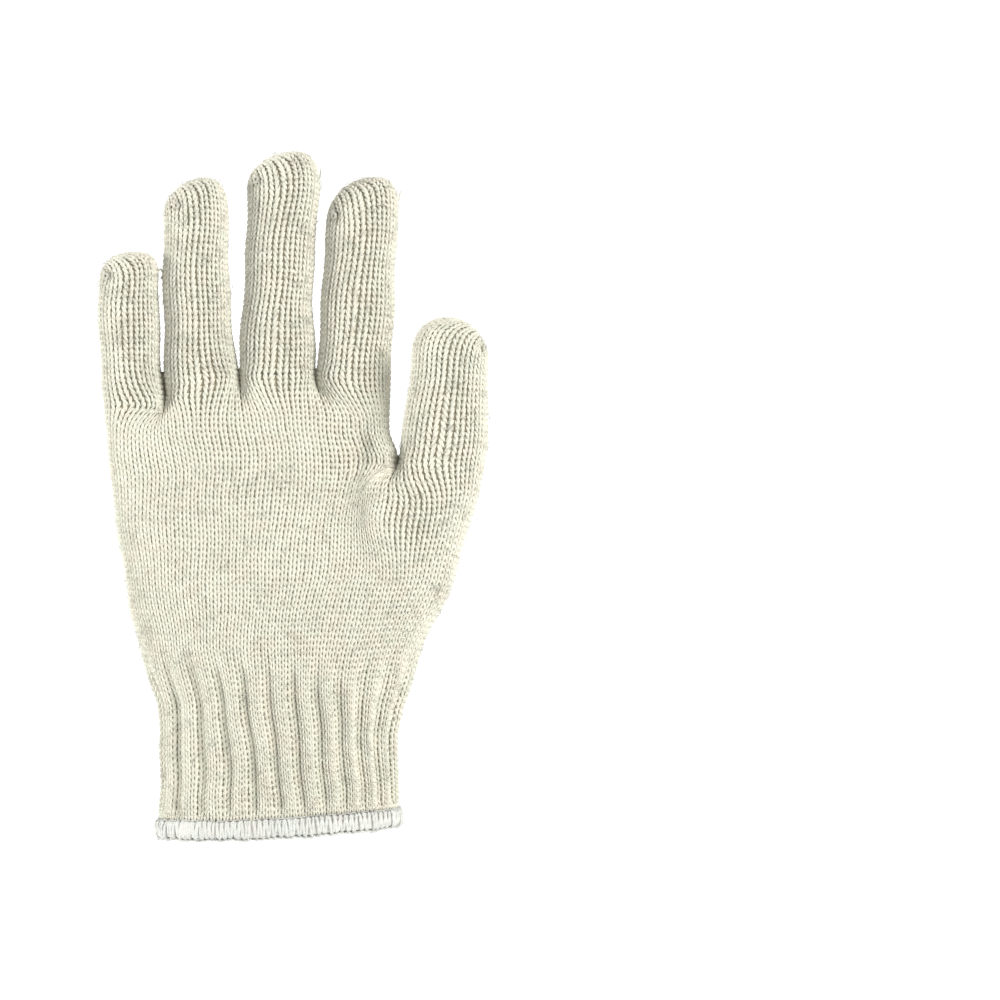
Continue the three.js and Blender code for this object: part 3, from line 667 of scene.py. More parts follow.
def webbed(points):
    """Draws the fold below the thumb's crotch over towards the palm's hollow, on the front only."""
    x, y, z = points.T
    across = np.exp(-((x - THUMB_LEFT) / WEB_WIDTH) ** 2)
    under = smooth((THUMB_CROTCH - z) / WEB_WIDTH) * smooth((z - THUMB_CROTCH) / (2.3 * WEB_WIDTH) + 1.8)
    front = smooth((4 * MM - y) / (8 * MM))
    moved = points.copy()
    moved[:, 0] -= WEB_PULL * across * under * front
    return moved


def uneven(points):
    """Slow waves of a few tenths of a millimetre, the same wherever two forms meet."""
    points = webbed(puckered(points))
    x, y, z = (points / MM).T
    side = 0.30 * np.sin(x / 6.1 + z / 9.7 + 1.3) + 0.26 * np.sin(z / 4.3 - x / 11.0)
    rise = 0.35 * np.sin(x / 5.2 - z / 13.0 + y / 9.0) + 0.25 * np.sin(x / 9.9 + z / 21.0 + 0.7)
    out = 0.30 * np.sin(x / 7.7 + z / 6.4) + 0.25 * np.sin(z / 3.9 + x / 15.0 + 2.1)
    low = smooth((z - HEM_HEIGHT / MM) / 12)
    # the little finger's root is creased across, and its wales bend to the side there
    outer = smooth((points[:, 0] - edges[0] - 1.5 * MM) / (7 * MM))
    outer = outer * smooth((edges[1] - points[:, 0]) / (5 * MM))
    crease = np.exp(-np.abs(points[:, 2] - KINK_HEIGHT) / (4.5 * MM)) * outer * (points[:, 1] < 0)
    side = side * low + crease * KINK_SHIFT / MM
    return points + np.stack([side, out * low + 0.9 * crease, rise * low], axis=-1) * MM


nets = {}                       # the courses, the points and the outward directions of each form


def make_form(name, row, wales, courses):
    """A net whose rows come from a function of the places round it and the course."""
    places = np.arange(-NET_SPARE, wales + NET_SPARE + 0.01, 0.5)
    net = np.array([uneven(row(places, course)) for course in courses])
    along = np.gradient(net, axis=1)
    up = np.gradient(net, axis=0)
    outward = np.cross(along, up)
    length = np.linalg.norm(outward, axis=2, keepdims=True)
    outward = outward / np.maximum(length, 1e-12)
    nets[name] = (np.array(courses), net, outward)
    rows, columns = net.shape[:2]
    index = np.arange(rows * columns).reshape(rows, columns)
    faces = np.stack([index[:-1, :-1], index[:-1, 1:], index[1:, 1:], index[1:, :-1]], axis=-1)
    form = mesh_object(name, net.reshape(-1, 3).tolist(), faces.reshape(-1, 4).tolist(), rounded_look=False)
    mesh = form.data
    plan = np.stack(np.broadcast_arrays(places[None, :], np.array(courses)[:, None]), axis=-1)
    plan = (plan.reshape(-1, 2) + NET_MARGIN) / NET
    corners = np.empty(len(mesh.loops), dtype=np.int32)
    mesh.loops.foreach_get("vertex_index", corners)
    mesh.uv_layers.new(name="plan").data.foreach_set("uv", plan[corners].ravel())
    mesh.attributes.new("outward", "FLOAT_VECTOR", "POINT").data.foreach_set("vector", outward.ravel())
    return form


def finger_course(index):
    """A form's row function for one finger or the thumb."""
    def row(places, course):
        return finger_row(index, places / TUBES[index]["wales"], course * COURSE - stands[index]["middle"])
    return row


def steps(start, end):
    return np.arange(math.floor(2 * start), math.ceil(2 * end) + 0.5) / 2


crotch_course = THUMB_CROTCH / COURSE
forms = {"whole": make_form("whole_form", lambda w, c: whole_row(w, c * COURSE), ROUND_WALES,
                            steps(-1, crotch_course + 1.5))}
forms["hand"] = make_form("hand_form", lambda w, c: hand_row(w, c * COURSE), 2 * HAND_WALES,
                          steps(crotch_course - 1.5, CROTCH_TOP / COURSE + 1.5))
last_course = []
for index, tube in enumerate(TUBES):
    low = min(stands[index]["low"], stands[index]["high"]) / COURSE
    last_course.append((stands[index]["middle"] + stands[index]["end"] - 0.3 * MM) / COURSE)
    courses = np.append(steps(low - 1.5, last_course[-1] - 1), [last_course[-1] - 0.5, last_course[-1]])
    forms[tube["node"]] = make_form(tube["node"] + "_form", finger_course(index), 2 * tube["wales"], courses)
print("forms", {name: len(form.data.vertices) for name, form in forms.items()})

# %% [markdown]
# ## The stitch
# Seen from the right side, a knit stitch is a V of two yarn legs. Each leg leans outwards as it climbs, dips
# under the stitch above at its top and comes out of the stitch below at its foot. Ten thousand of them have
# to be drawn, so a leg is a short spindle of few faces. It is made in the knitting plan's own units, one
# wale wide and one course high, and its thickness is in metres.

# %% Stitch tile
YARN_HALF = 0.60 * MM
LEG_SIDES = 5
LEG_RINGS = [0.0, 0.32, 0.68, 1.0]
LEG_REACH = 0.86                # half the height of a leg, in courses
LEG_FOOT = 0.09                # how far from the wale's middle a leg starts and ends, in wales
LEG_HEAD = 0.385
LEG_HALF = 0.20                 # half width of the yarn in wales, before it is fitted to its wale
LEG_DIP = 0.75 * MM


def new_parts():
    return {"points": [], "faces": [], "marks": []}


def add_strand(parts, line, half_across, half_out, sides=LEG_SIDES):
    """Adds a closed thread along a line of (across, up, out) points, with a half width and height at each."""
    base = len(parts["points"])
    line = np.array(line)
    last = len(line) - 1
    for step, (x, y, z) in enumerate(line):
        run = (line[min(step + 1, last)] - line[max(step - 1, 0)])[:2]
        run = run / max(1e-9, np.hypot(*run))
        for turn in range(sides):
            angle = 2 * math.pi * (turn / sides + 0.25)
            across = half_across[step] * math.cos(angle)
            out = half_out[step] * math.sin(angle)
            parts["points"].append((x + across * run[1], y - across * run[0], z + out))
            parts["marks"].append((step / last, turn / sides, across * run[1]))
    parts["faces"].append([base + turn for turn in range(sides)][::-1])
    parts["faces"].append([len(parts["points"]) - sides + turn for turn in range(sides)])
    for step in range(last):
        parts["faces"] += ring_faces(sides, base + step * sides, base + (step + 1) * sides)


def triangles(piece):
    piece.data.calc_loop_triangles()
    return len(piece.data.loop_triangles)


def tile_object(name, parts):
    """A tile's mesh object. Its UV map says how far along and around the yarn a point is, and its
    attribute how far aside of the yarn's middle."""
    made = mesh_object(name, parts["points"], parts["faces"])
    mesh = made.data
    layer = mesh.uv_layers.new(name="yarn")
    marks = parts["marks"]
    for polygon in mesh.polygons:
        turns = [marks[v][1] for v in polygon.vertices]
        wrap = len(turns) == 4 and max(turns) - min(turns) > 0.6
        for loop in polygon.loop_indices:
            along, around, _ = marks[mesh.loops[loop].vertex_index]
            layer.data[loop].uv = (along, around + (1.0 if wrap and around < 0.3 else 0.0))
    aside = mesh.attributes.new("aside", "FLOAT", "POINT")
    aside.data.foreach_set("value", [mark[2] for mark in marks])
    print("triangles in a", name, triangles(made))
    return made


legs = new_parts()
for side in (-1, 1):
    shares = np.array(LEG_RINGS)
    dip = np.abs(2 * shares - 1) ** 2.2
    line = np.stack([side * mix(LEG_FOOT, LEG_HEAD, shares), LEG_REACH * (2 * shares - 1),
                     -YARN_HALF - LEG_DIP * dip], axis=-1)
    fat = 1 - 0.30 * np.abs(2 * shares - 1) ** 2
    add_strand(legs, line, LEG_HALF * fat, YARN_HALF * fat)
stitch = tile_object("stitch", legs)

# %% [markdown]
# ## Knitting with Geometry Nodes
# The base of each knitted piece is a plain set of points, one for each stitch, at its wale and course. The
# tree puts a stitch on each point in the plan, a little turned and stretched by chance, gives it a tone of
# its own, makes the instances real and then carries every point of them over to the form: the form's
# surface at that wale and course, plus the point's own height along the outward direction.


# %% Helpers for nodes
def feed(tree, socket, value):
    """Gives an input a plain value, or links it when the value is another node's output."""
    if isinstance(value, bpy.types.NodeSocket):
        tree.links.new(value, socket)
    else:
        socket.default_value = value


def put(tree, kind, feeds=None, **settings):
    """A new node with its properties set and its inputs fed, by their names or numbers."""
    made = tree.nodes.new(kind)
    for name, value in settings.items():
        setattr(made, name, value)
    for key, value in (feeds or {}).items():
        feed(tree, made.inputs[key], value)
    return made


def maths(tree, operation, first, second):
    return put(tree, "ShaderNodeMath", {0: first, 1: second}, operation=operation).outputs[0]


def vector_maths(tree, operation, first, second):
    place = 3 if operation == "SCALE" else 1
    return put(tree, "ShaderNodeVectorMath", {0: first, place: second}, operation=operation).outputs[0]


def combined(tree, **axes):
    return put(tree, "ShaderNodeCombineXYZ", axes).outputs[0]


def random_value(tree, low, high, seed, extra):
    """A chance number for each instance, from the tree's seed plus a fixed number."""
    made = put(tree, "FunctionNodeRandomValue", {"Seed": maths(tree, "ADD", seed, extra)}, data_type="FLOAT")
    for socket, value in zip([s for s in made.inputs if s.enabled], (low, high)):
        feed(tree, socket, value)
    return [s for s in made.outputs if s.enabled][0]


def named(tree, name, data_type="FLOAT_VECTOR"):
    made = put(tree, "GeometryNodeInputNamedAttribute", {"Name": name}, data_type=data_type)
    return made.outputs["Attribute"]


def on_form(tree, form, value, plan):
    """Looks a value of the form up at a wale and course."""
    sample = put(tree, "GeometryNodeSampleUVSurface", data_type="FLOAT_VECTOR")
    sources = (form, value, named(tree, "plan"), plan)
    for socket, source in zip([s for s in sample.inputs if s.enabled], sources):
        feed(tree, socket, source)
    return sample.outputs[0]


# %% The knitting tree
TREE_INPUTS = [
    ("Geometry", "Geometry"), ("Form", "Object"), ("Stitch", "Object"), ("Lean", "Float"),
    ("Size variation", "Float"), ("First course", "Float"), ("Last course", "Float"), ("Seed", "Int"),
    ("Material", "Material"),
]


def knitting_tree():
    tree = bpy.data.node_groups.new("knit on a form", "GeometryNodeTree")
    for label, kind in TREE_INPUTS:
        tree.interface.new_socket(label, in_out="INPUT", socket_type="NodeSocket" + kind)
    tree.interface.new_socket("Geometry", in_out="OUTPUT", socket_type="NodeSocketGeometry")
    given = put(tree, "NodeGroupInput").outputs
    form = put(tree, "GeometryNodeObjectInfo", {"Object": given["Form"]}).outputs["Geometry"]
    tile = put(tree, "GeometryNodeObjectInfo", {"Object": given["Stitch"]}).outputs["Geometry"]
    # each stitch leans and stretches by chance
    seed = given["Seed"]
    lean = random_value(tree, maths(tree, "MULTIPLY", given["Lean"], -1), given["Lean"], seed, 1)
    low = maths(tree, "SUBTRACT", 1.0, given["Size variation"])
    high = maths(tree, "ADD", 1.0, given["Size variation"])
    stretch = {}
    for extra, axis in ((2, "X"), (3, "Y"), (4, "Z")):
        stretch[axis] = random_value(tree, low, high, seed, extra)
    size = vector_maths(tree, "MULTIPLY", combined(tree, **stretch), named(tree, "stitch_size"))
    turned = combined(tree, Z=lean)
    laid = put(tree, "GeometryNodeInstanceOnPoints",
               {"Points": given["Geometry"], "Instance": tile, "Rotation": turned, "Scale": size})
    tone = random_value(tree, 0.0, 1.0, seed, 5)
    toned = put(tree, "GeometryNodeStoreNamedAttribute", data_type="FLOAT", domain="INSTANCE",
                feeds={"Name": "tone", "Geometry": laid.outputs[0], "Value": tone})
    real = put(tree, "GeometryNodeRealizeInstances", {0: toned.outputs[0]})
    # the yarn keeps its own thickness, so it fills a narrow wale more than a wide one
    spare = maths(tree, "SUBTRACT", named(tree, "fullness", "FLOAT"), 1.0)
    wider = combined(tree, X=maths(tree, "MULTIPLY", named(tree, "aside", "FLOAT"), spare))
    filled = put(tree, "GeometryNodeSetPosition", {"Geometry": real.outputs[0], "Offset": wider})
    # from the plan to the form
    place = put(tree, "GeometryNodeInputPosition").outputs[0]
    parts = put(tree, "ShaderNodeSeparateXYZ", {0: place}).outputs
    course = maths(tree, "MAXIMUM", parts["Y"], given["First course"])
    course = maths(tree, "MINIMUM", course, given["Last course"])
    shares = {}
    for axis, value in (("X", parts["X"]), ("Y", course)):
        moved = maths(tree, "ADD", value, float(NET_MARGIN))
        shares[axis] = maths(tree, "DIVIDE", moved, float(NET))
    plan = combined(tree, **shares)
    surface = on_form(tree, form, place, plan)
    height = vector_maths(tree, "SCALE", on_form(tree, form, named(tree, "outward"), plan), parts["Z"])
    on_glove = vector_maths(tree, "ADD", surface, height)
    moved = put(tree, "GeometryNodeSetPosition", {"Geometry": filled.outputs[0], "Position": on_glove})
    coloured = put(tree, "GeometryNodeSetMaterial",
                   {"Geometry": moved.outputs[0], "Material": given["Material"]})
    put(tree, "NodeGroupOutput", {0: coloured.outputs[0]})
    return tree


knitting = knitting_tree()
sockets = {item.name: item.identifier for item in knitting.interface.items_tree if item.in_out == "INPUT"}
print("inputs of the knitting tree", list(sockets)[1:])


# %% Knit a piece
YARN_WIDTH = 1.25 * MM
LEG_HALF_RANGE = (0.150, 0.220)  # of the yarn's half width, in wales


def fullness(form, stitches):
    """How much wider or narrower than in the tile the yarn is at each place, from the form's wale width."""
    courses, net, _ = nets[form.name]
    across = np.linalg.norm(net[:, 1:] - net[:, :-1], axis=2) * 2
    result = []
    for wale, course, size in stitches:
        column = int(round(2 * (wale + NET_SPARE) - 0.5))
        row = min(int(np.searchsorted(courses, course)), len(courses) - 1)
        half = YARN_WIDTH / 2 / max(across[row, column] * size[0], 0.5 * MM)
        result.append(float(np.clip(half, *LEG_HALF_RANGE)) / LEG_HALF)
    return result


def knit(name, stitches, form, tile, material, lean=0.05, variation=0.07, seed=1):
    """Knits one piece from stitch places and sizes and returns it as a plain mesh object."""
    places = [(float(x), float(y), 0.0) for x, y, _ in stitches]
    base = mesh_object(name + "_plan", places, [], rounded_look=False)
    mesh = base.data
    sizes = np.array([size for _, _, size in stitches])
    mesh.attributes.new("stitch_size", "FLOAT_VECTOR", "POINT").data.foreach_set("vector", sizes.ravel())
    full = fullness(form, stitches) if tile.name == "stitch" else [1.0] * len(stitches)
    mesh.attributes.new("fullness", "FLOAT", "POINT").data.foreach_set("value", full)
    modifier = base.modifiers.new("knitting", "NODES")
    modifier.node_group = knitting
    courses = nets[form.name][0]
    given = {"Form": form, "Stitch": tile, "Lean": lean, "Size variation": variation, "Seed": seed,
             "First course": float(courses[0]) + 0.001, "Last course": float(courses[-1]) - 0.001,
             "Material": material}
    for label, value in given.items():
        modifier[sockets[label]] = value
    depsgraph = bpy.context.evaluated_depsgraph_get()
    result = bpy.data.meshes.new_from_object(base.evaluated_get(depsgraph))
    result.name = name
    bpy.data.objects.remove(base)
    piece = bpy.data.objects.new(name, result)
    bpy.context.collection.objects.link(piece)
    return piece


def join(name, parts):
    """Makes one object of several, with its meshes' attributes kept."""
    with bpy.context.temp_override(active_object=parts[0], selected_editable_objects=parts):
        bpy.ops.object.join()
    parts[0].name = name
    parts[0].data.name = name
    return parts[0]


# %% [markdown]
# ## Plans
# The plan lists where each stitch goes. The wales of a row that lies above a root belong to the finger, and
# those below it to the palm. At a round tip the wales crowd together, so every second one ends there.

# %% Plans of the stitches
PLAIN = (1.0, 1.0, 1.0)


def height_of(course):
    return (course + 0.5) * COURSE


def whole_plan(first, last, front):
    """Stitches of rows round the whole glove, on its front or its back."""
    wales = range(FACE_WALES) if front else range(FACE_WALES, ROUND_WALES)
    return [(wale + 0.5, course + 0.5, PLAIN) for course in range(first, last) for wale in wales]


def hand_plan(front):
    """Stitches between the thumb's crotch and the finger roots."""
    wales = np.arange(HAND_WALES) + (0.5 if front else HAND_WALES + 0.5)
    roots = hand_root(wales)
    plan = []
    for course in range(crotch_row, math.ceil(CROTCH_TOP / COURSE)):
        for wale, root in zip(wales, roots):
            if height_of(course) < root:
                plan.append((wale, course + 0.5, PLAIN))
    return plan


HALF_AT = 0.55                  # below this share of a full wale every second wale ends
QUARTER_AT = 0.25               # and below this one every second wale of those


def tube_plan(index):
    """Stitches of a finger or the thumb. On the round tip each wale keeps its own even spacing."""
    tube = TUBES[index]
    stand = stands[index]
    courses, net, _ = nets[tube["node"] + "_form"]
    around = 2 * tube["wales"]
    bend = (stand["middle"] + stand["shaft"] - TILT_ZONE * stand["crown"]) / COURSE
    plan = []
    for wale in range(around):
        column = 2 * (wale + NET_SPARE) + 1
        root = mix(stand["low"], stand["high"], 1 - abs(1 - (wale + 0.5) / tube["wales"]))
        course = crotch_row + 0.5
        while course < bend:
            if course * COURSE >= root:
                plan.append((wale + 0.5, course, PLAIN))
            course += 1
        line = net[:, column]
        walked = np.concatenate([[0.0], np.cumsum(np.linalg.norm(np.diff(line, axis=0), axis=1))])
        width = np.linalg.norm(net[:, column + 1] - net[:, column - 1], axis=1)
        nominal = width[np.searchsorted(courses, bend) - 4]
        place = np.interp(course - 0.5, courses, walked) + COURSE / 2
        while place < walked[-1] - 0.3 * COURSE:
            here = np.interp(place, walked, courses)
            foot, head = np.interp([place - COURSE / 2, place + COURSE / 2], walked, courses)
            tall = min(head - foot, (courses[-1] - here) / (1.12 * LEG_REACH))
            narrow = np.interp(here, courses, width) / nominal
            thick = float(np.clip(0.3 + narrow, 0.5, 1.0))
            if narrow > HALF_AT:
                plan.append((wale + 0.5, here, (1.0, tall, thick)))
            elif narrow > QUARTER_AT and wale % 2 == 0:
                plan.append((wale + 1.0, here, (1.9, tall, min(1.0, thick * 1.2))))
            elif narrow <= QUARTER_AT and wale % 4 == 0:
                plan.append((wale + 2.0, here, (3.8, tall, thick)))
            place += COURSE
    return plan


hem_row = math.ceil((HEM_HEIGHT - HEM_THREAD) / COURSE)
cuff_row_end = math.ceil(CUFF_LENGTH / COURSE)
crotch_row = math.ceil(THUMB_CROTCH / COURSE - 0.5)
print("rows of the cuff", hem_row, "to", cuff_row_end, "and of the palm to", crotch_row)

# %% [markdown]
# ## Yarn materials
# The cotton is thick, loosely twisted and a little hairy. Two effects are node groups, because the knit, the
# hem and the knots all use them: the twist of the plies along the yarn's own UV map, and the mottled tone,
# which mixes each stitch's own chance number with slow and fine noise in Object coordinates.


# %% Yarn node groups
def shader_group(name, inputs, outputs):
    tree = bpy.data.node_groups.new(name, "ShaderNodeTree")
    for label, kind, value in inputs:
        socket = tree.interface.new_socket(label, in_out="INPUT", socket_type=kind)
        socket.default_value = value
    for label, kind in outputs:
        tree.interface.new_socket(label, in_out="OUTPUT", socket_type=kind)
    return tree, put(tree, "NodeGroupInput").outputs, put(tree, "NodeGroupOutput").inputs


def noise(tree, scale, detail=2.0, rough=0.5):
    """Soft noise in Object coordinates."""
    place = put(tree, "ShaderNodeTexCoord").outputs["Object"]
    feeds = {"Vector": place, "Scale": scale, "Detail": detail, "Roughness": rough}
    return put(tree, "ShaderNodeTexNoise", feeds).outputs["Fac"]


def mixed_colour(tree, share, first, second, blend="MIX"):
    feeds = {0: share, 6: first, 7: second}
    return put(tree, "ShaderNodeMix", data_type="RGBA", blend_type=blend, feeds=feeds).outputs[2]


def twist_group():
    """Diagonal plies along the yarn, as a height from 0 to 1."""
    tree, given, result = shader_group(
        "yarn twist",
        [("Turns", "NodeSocketFloat", 2.0), ("Plies", "NodeSocketFloat", 2.0)],
        [("Height", "NodeSocketFloat")])
    place = put(tree, "ShaderNodeUVMap", uv_map="yarn").outputs[0]
    parts = put(tree, "ShaderNodeSeparateXYZ", {0: place}).outputs
    along = maths(tree, "MULTIPLY", parts["X"], given["Turns"])
    around = maths(tree, "MULTIPLY", parts["Y"], given["Plies"])
    phase = maths(tree, "MULTIPLY", maths(tree, "ADD", along, around), 2 * math.pi)
    wave = maths(tree, "SINE", phase, 0.0)
    feed(tree, result["Height"], maths(tree, "MULTIPLY", maths(tree, "ADD", wave, 1.0), 0.5))
    return tree


def tone_group():
    """A mottled colour between two tones, and a fuzz height."""
    tree, given, result = shader_group(
        "yarn tone",
        [("Light", "NodeSocketColor", (1, 1, 1, 1)), ("Dark", "NodeSocketColor", (1, 1, 1, 1)),
         ("Stitch share", "NodeSocketFloat", 0.4), ("Patch size", "NodeSocketFloat", 60.0),
         ("Fibre size", "NodeSocketFloat", 1500.0), ("Hue size", "NodeSocketFloat", 150.0),
         ("Pink cast", "NodeSocketColor", (1, 0.978, 0.955, 1)),
         ("Green cast", "NodeSocketColor", (0.978, 1, 0.98, 1))],
        [("Color", "NodeSocketColor"), ("Fuzz", "NodeSocketFloat")])
    own = put(tree, "ShaderNodeAttribute", attribute_name="tone").outputs["Fac"]
    patch = noise(tree, given["Patch size"], 3.0, 0.6)
    fibre = noise(tree, given["Fibre size"], 3.0, 0.7)
    slow = maths(tree, "ADD", maths(tree, "MULTIPLY", patch, 0.6), maths(tree, "MULTIPLY", fibre, 0.4))
    apart = maths(tree, "SUBTRACT", own, slow)
    tone = maths(tree, "ADD", slow, maths(tree, "MULTIPLY", apart, given["Stitch share"]))
    toned = mixed_colour(tree, tone, given["Dark"], given["Light"])
    # some of the cotton is a little pinker and some a little greener
    mottle = noise(tree, given["Hue size"], 4.0, 0.65)
    hue = put(tree, "ShaderNodeMapRange", {"From Min": 0.38, "From Max": 0.62, "Value": mottle})
    cast = mixed_colour(tree, hue.outputs[0], given["Pink cast"], given["Green cast"])
    feed(tree, result["Color"], mixed_colour(tree, 1.0, toned, cast, "MULTIPLY"))
    feed(tree, result["Fuzz"], fibre)
    return tree


twist = twist_group()
tones = tone_group()
print("node groups", twist.name, "and", tones.name)


# %% Yarn material
TWIST_DEPTH = 0.18 * MM
FUZZ_DEPTH = 0.12 * MM


def yarn_material(name, light, dark, turns=1.6, stitch_share=0.4, patch=60.0):
    material = bpy.data.materials.new(name)
    material.use_nodes = True
    tree = material.node_tree
    given = {"Light": (*light, 1), "Dark": (*dark, 1), "Stitch share": stitch_share, "Patch size": patch}
    tone = put(tree, "ShaderNodeGroup", given, node_tree=tones).outputs
    plies = put(tree, "ShaderNodeGroup", {"Turns": turns}, node_tree=twist).outputs
    bump = put(tree, "ShaderNodeBump", {"Distance": TWIST_DEPTH, "Strength": 1.0, "Height": plies["Height"]})
    fuzz = put(tree, "ShaderNodeBump", {"Distance": FUZZ_DEPTH, "Strength": 1.0, "Height": tone["Fuzz"],
                                        "Normal": bump.outputs["Normal"]})
    finish = {"Base Color": tone["Color"], "Normal": fuzz.outputs["Normal"], "Roughness": 0.92,
              "Specular IOR Level": 0.15, "Sheen Weight": 0.25, "Sheen Roughness": 0.6}
    for key, value in finish.items():
        feed(tree, tree.nodes["Principled BSDF"].inputs[key], value)
    material.diffuse_color = (*light, 1)
    return material


ivory = yarn_material("ivory string yarn", (0.905, 0.889, 0.790), (0.765, 0.75, 0.645))
# the inside of the knit is painted shade: its tones are far darker than the yarn's, for the shadow in the
# gaps between the wales
inner = yarn_material("inside of the knit in painted shade", (0.47, 0.43, 0.33), (0.34, 0.31, 0.23), stitch_share=0.0)
white = yarn_material("white overlock thread", (0.83, 0.84, 0.81), (0.70, 0.71, 0.68), turns=5.0, patch=900.0)
core_white = yarn_material("hem core", (0.84, 0.84, 0.81), (0.72, 0.72, 0.69), stitch_share=0.0)
print("yarn materials", ivory.name, inner.name, white.name)

# %% [markdown]
# ## Knit the cuff, the palm and the fingers
# The cuff and the palm are knitted in a front and a back piece, which keeps each piece light enough. The
# fingers and the thumb are tubes of their own.

# %% Knit the pieces
RIB_LEAN = 0.03
pieces = {}
for face, front in (("front", True), ("back", False)):
    cuff = knit("cuff_" + face, whole_plan(hem_row, cuff_row_end, front), forms["whole"], stitch, ivory,
                lean=RIB_LEAN, seed=11 + front)
    palm = knit("palm_" + face, whole_plan(cuff_row_end, crotch_row, front), forms["whole"], stitch, ivory,
                seed=21 + front)
    hand = knit("hand_" + face, hand_plan(front), forms["hand"], stitch, ivory, seed=31 + front)
    pieces["cuff_" + face] = cuff
    pieces["palm_" + face] = join("palm_" + face, [palm, hand])
for index, tube in enumerate(TUBES):
    name = tube["node"] + "_knit"
    pieces[name] = knit(name, tube_plan(index), forms[tube["node"]], stitch, ivory, seed=41 + index)
print("triangles", {name: triangles(piece) for name, piece in pieces.items()})

# %% [markdown]
# ## The overlocked hem
# The bottom edge is bound by an overlock machine with white thread. Two loops run from a needle line down
# over the edge, one on the face and one inside, and a chain along the edge locks them together. The band
# under them is a soft round core. The loops are laid by the same tree, on a form that runs round the core,
# and chance makes each a little wider or narrower and moves it along, as no two real ones are alike.

# %% Hem form and core
HEM_INSET = 2.4 * MM
HEM_HALF = 2.2 * MM
HEM_STEPS = 10                  # from the top of the inside, round the edge, to the top of the face
HEM_START = 110                 # where on the profile the loops begin, in degrees
HEM_TURN = 320                  # how far round it they reach
HEM_LIFT = 0.42 * MM            # how far off the core they lie
HEM_WAVE = 0.16 * MM            # the edge is uneven by two kinds of waves
CORE_SIDES = 12


def squared(value, power):
    return math.copysign(abs(value) ** power, value)


def hem_point(wale, angle, grow=0.0):
    """A ring of points round the hem at one angle of its profile: 0 is the face and 90 degrees the top."""
    round_way = 2 * math.pi * wale / ROUND_WALES
    wave = HEM_WAVE * (np.sin(27 * round_way) + np.sin(10 * round_way + 1.0))
    wave = wave * (1.0 if math.sin(angle) < 0 else 0.4)
    out = squared(math.cos(angle), 0.55) * (HEM_HALF + grow + wave)
    up = squared(math.sin(angle), 0.6)
    height = HEM_HEIGHT / 2 + up * (HEM_HEIGHT / 2 - 0.35 * MM + grow)
    ring = plain_cuff_row(wale, height) + inward(plain_cuff_row, wale, height) * (HEM_INSET - out)[:, None]
    ring[:, 2] += up * wave
    return ring


def hem_course(places, course):
    return hem_point(places, math.radians(HEM_START + HEM_TURN * course / HEM_STEPS), HEM_LIFT)


forms["hem"] = make_form("hem_form", hem_course, ROUND_WALES, steps(0, HEM_STEPS))
places = np.arange(ROUND_WALES)
rings = [hem_point(places, 2 * math.pi * turn / CORE_SIDES) for turn in range(CORE_SIDES)]
core_faces = []
for turn in range(CORE_SIDES):
    core_faces += ring_faces(ROUND_WALES, turn * ROUND_WALES, (turn + 1) % CORE_SIDES * ROUND_WALES)
core = mesh_object("hem_core", np.concatenate(rings).tolist(), core_faces, core_white)
print("points in the hem's core", len(core.data.vertices))

# %% Overlock loop
loop_parts = new_parts()
TOP_OUT = 9.85                  # the needle line on the face, in courses of the hem's form
EDGE = 5.2                      # the cuff's raw edge
TOP_IN = 0.8                    # the needle line inside
THREAD_HALF = 0.28              # half width of a thread, in wales


def overlock_line(start, end):
    """A thread's line that swings from one side to the other and lifts off in its middle."""
    shares = np.linspace(0, 1, 7)
    x = mix(start[0], end[0], smooth(shares))
    y = mix(start[1], end[1], shares)
    return np.stack([x, y, 0.25 * MM * (np.sin(math.pi * shares) - 1)], axis=-1)


def thread(line, thick=0.40 * MM):
    fat = 1 - 0.35 * np.abs(np.linspace(-1, 1, len(line))) ** 4
    add_strand(loop_parts, line, THREAD_HALF * fat, thick * fat)


thread(overlock_line((-0.42, TOP_OUT), (0.10, EDGE)), thick=0.48 * MM)
thread(overlock_line((0.50, TOP_OUT), (0.12, EDGE)), thick=0.42 * MM)
thread(overlock_line((0.0, EDGE), (-0.35, TOP_IN)))
thread(overlock_line((0.0, EDGE), (0.35, TOP_IN)))
chain = [(-0.6, EDGE - 0.35, 0.05 * MM), (-0.2, EDGE + 0.1, 0.35 * MM), (0.25, EDGE + 0.3, 0.45 * MM),
         (0.55, EDGE + 0.1, 0.25 * MM), (0.75, EDGE - 0.2, 0.0)]
add_strand(loop_parts, chain, [0.30] * 5, [0.42 * MM] * 5)
needle = [(-0.55, TOP_OUT - 0.1, -0.1 * MM), (0.0, TOP_OUT + 0.15, 0.2 * MM),
          (0.55, TOP_OUT - 0.1, -0.1 * MM)]
add_strand(loop_parts, needle, [0.22] * 3, [0.32 * MM] * 3)
overlock_loop = tile_object("overlock loop", loop_parts)

# %% Lay the hem
HEM_LOOPS = 96
pitch = ROUND_WALES / HEM_LOOPS
chance = np.random.default_rng(9)
hem_plan = []
for place in range(HEM_LOOPS):
    shift = chance.uniform(-0.22, 0.22)
    wide = pitch * chance.uniform(0.85, 1.30)
    hem_plan.append(((place + 0.5 + shift) * pitch, 0.0, (wide, 1.0, chance.uniform(0.8, 1.25))))
loops = knit("hem_loops", hem_plan, forms["hem"], overlock_loop, white, lean=0.03, variation=0.04, seed=71)
pieces["hem"] = join("hem", [loops, core])
print("triangles in the hem", triangles(pieces["hem"]))

# %% [markdown]
# ## Fuzz
# Cotton yarn sheds short fibres, which soften the glove's outline. A few thousand thin curved hairs are
# laid by the same tree at places chosen by chance, each turned its own way, with one end standing off.

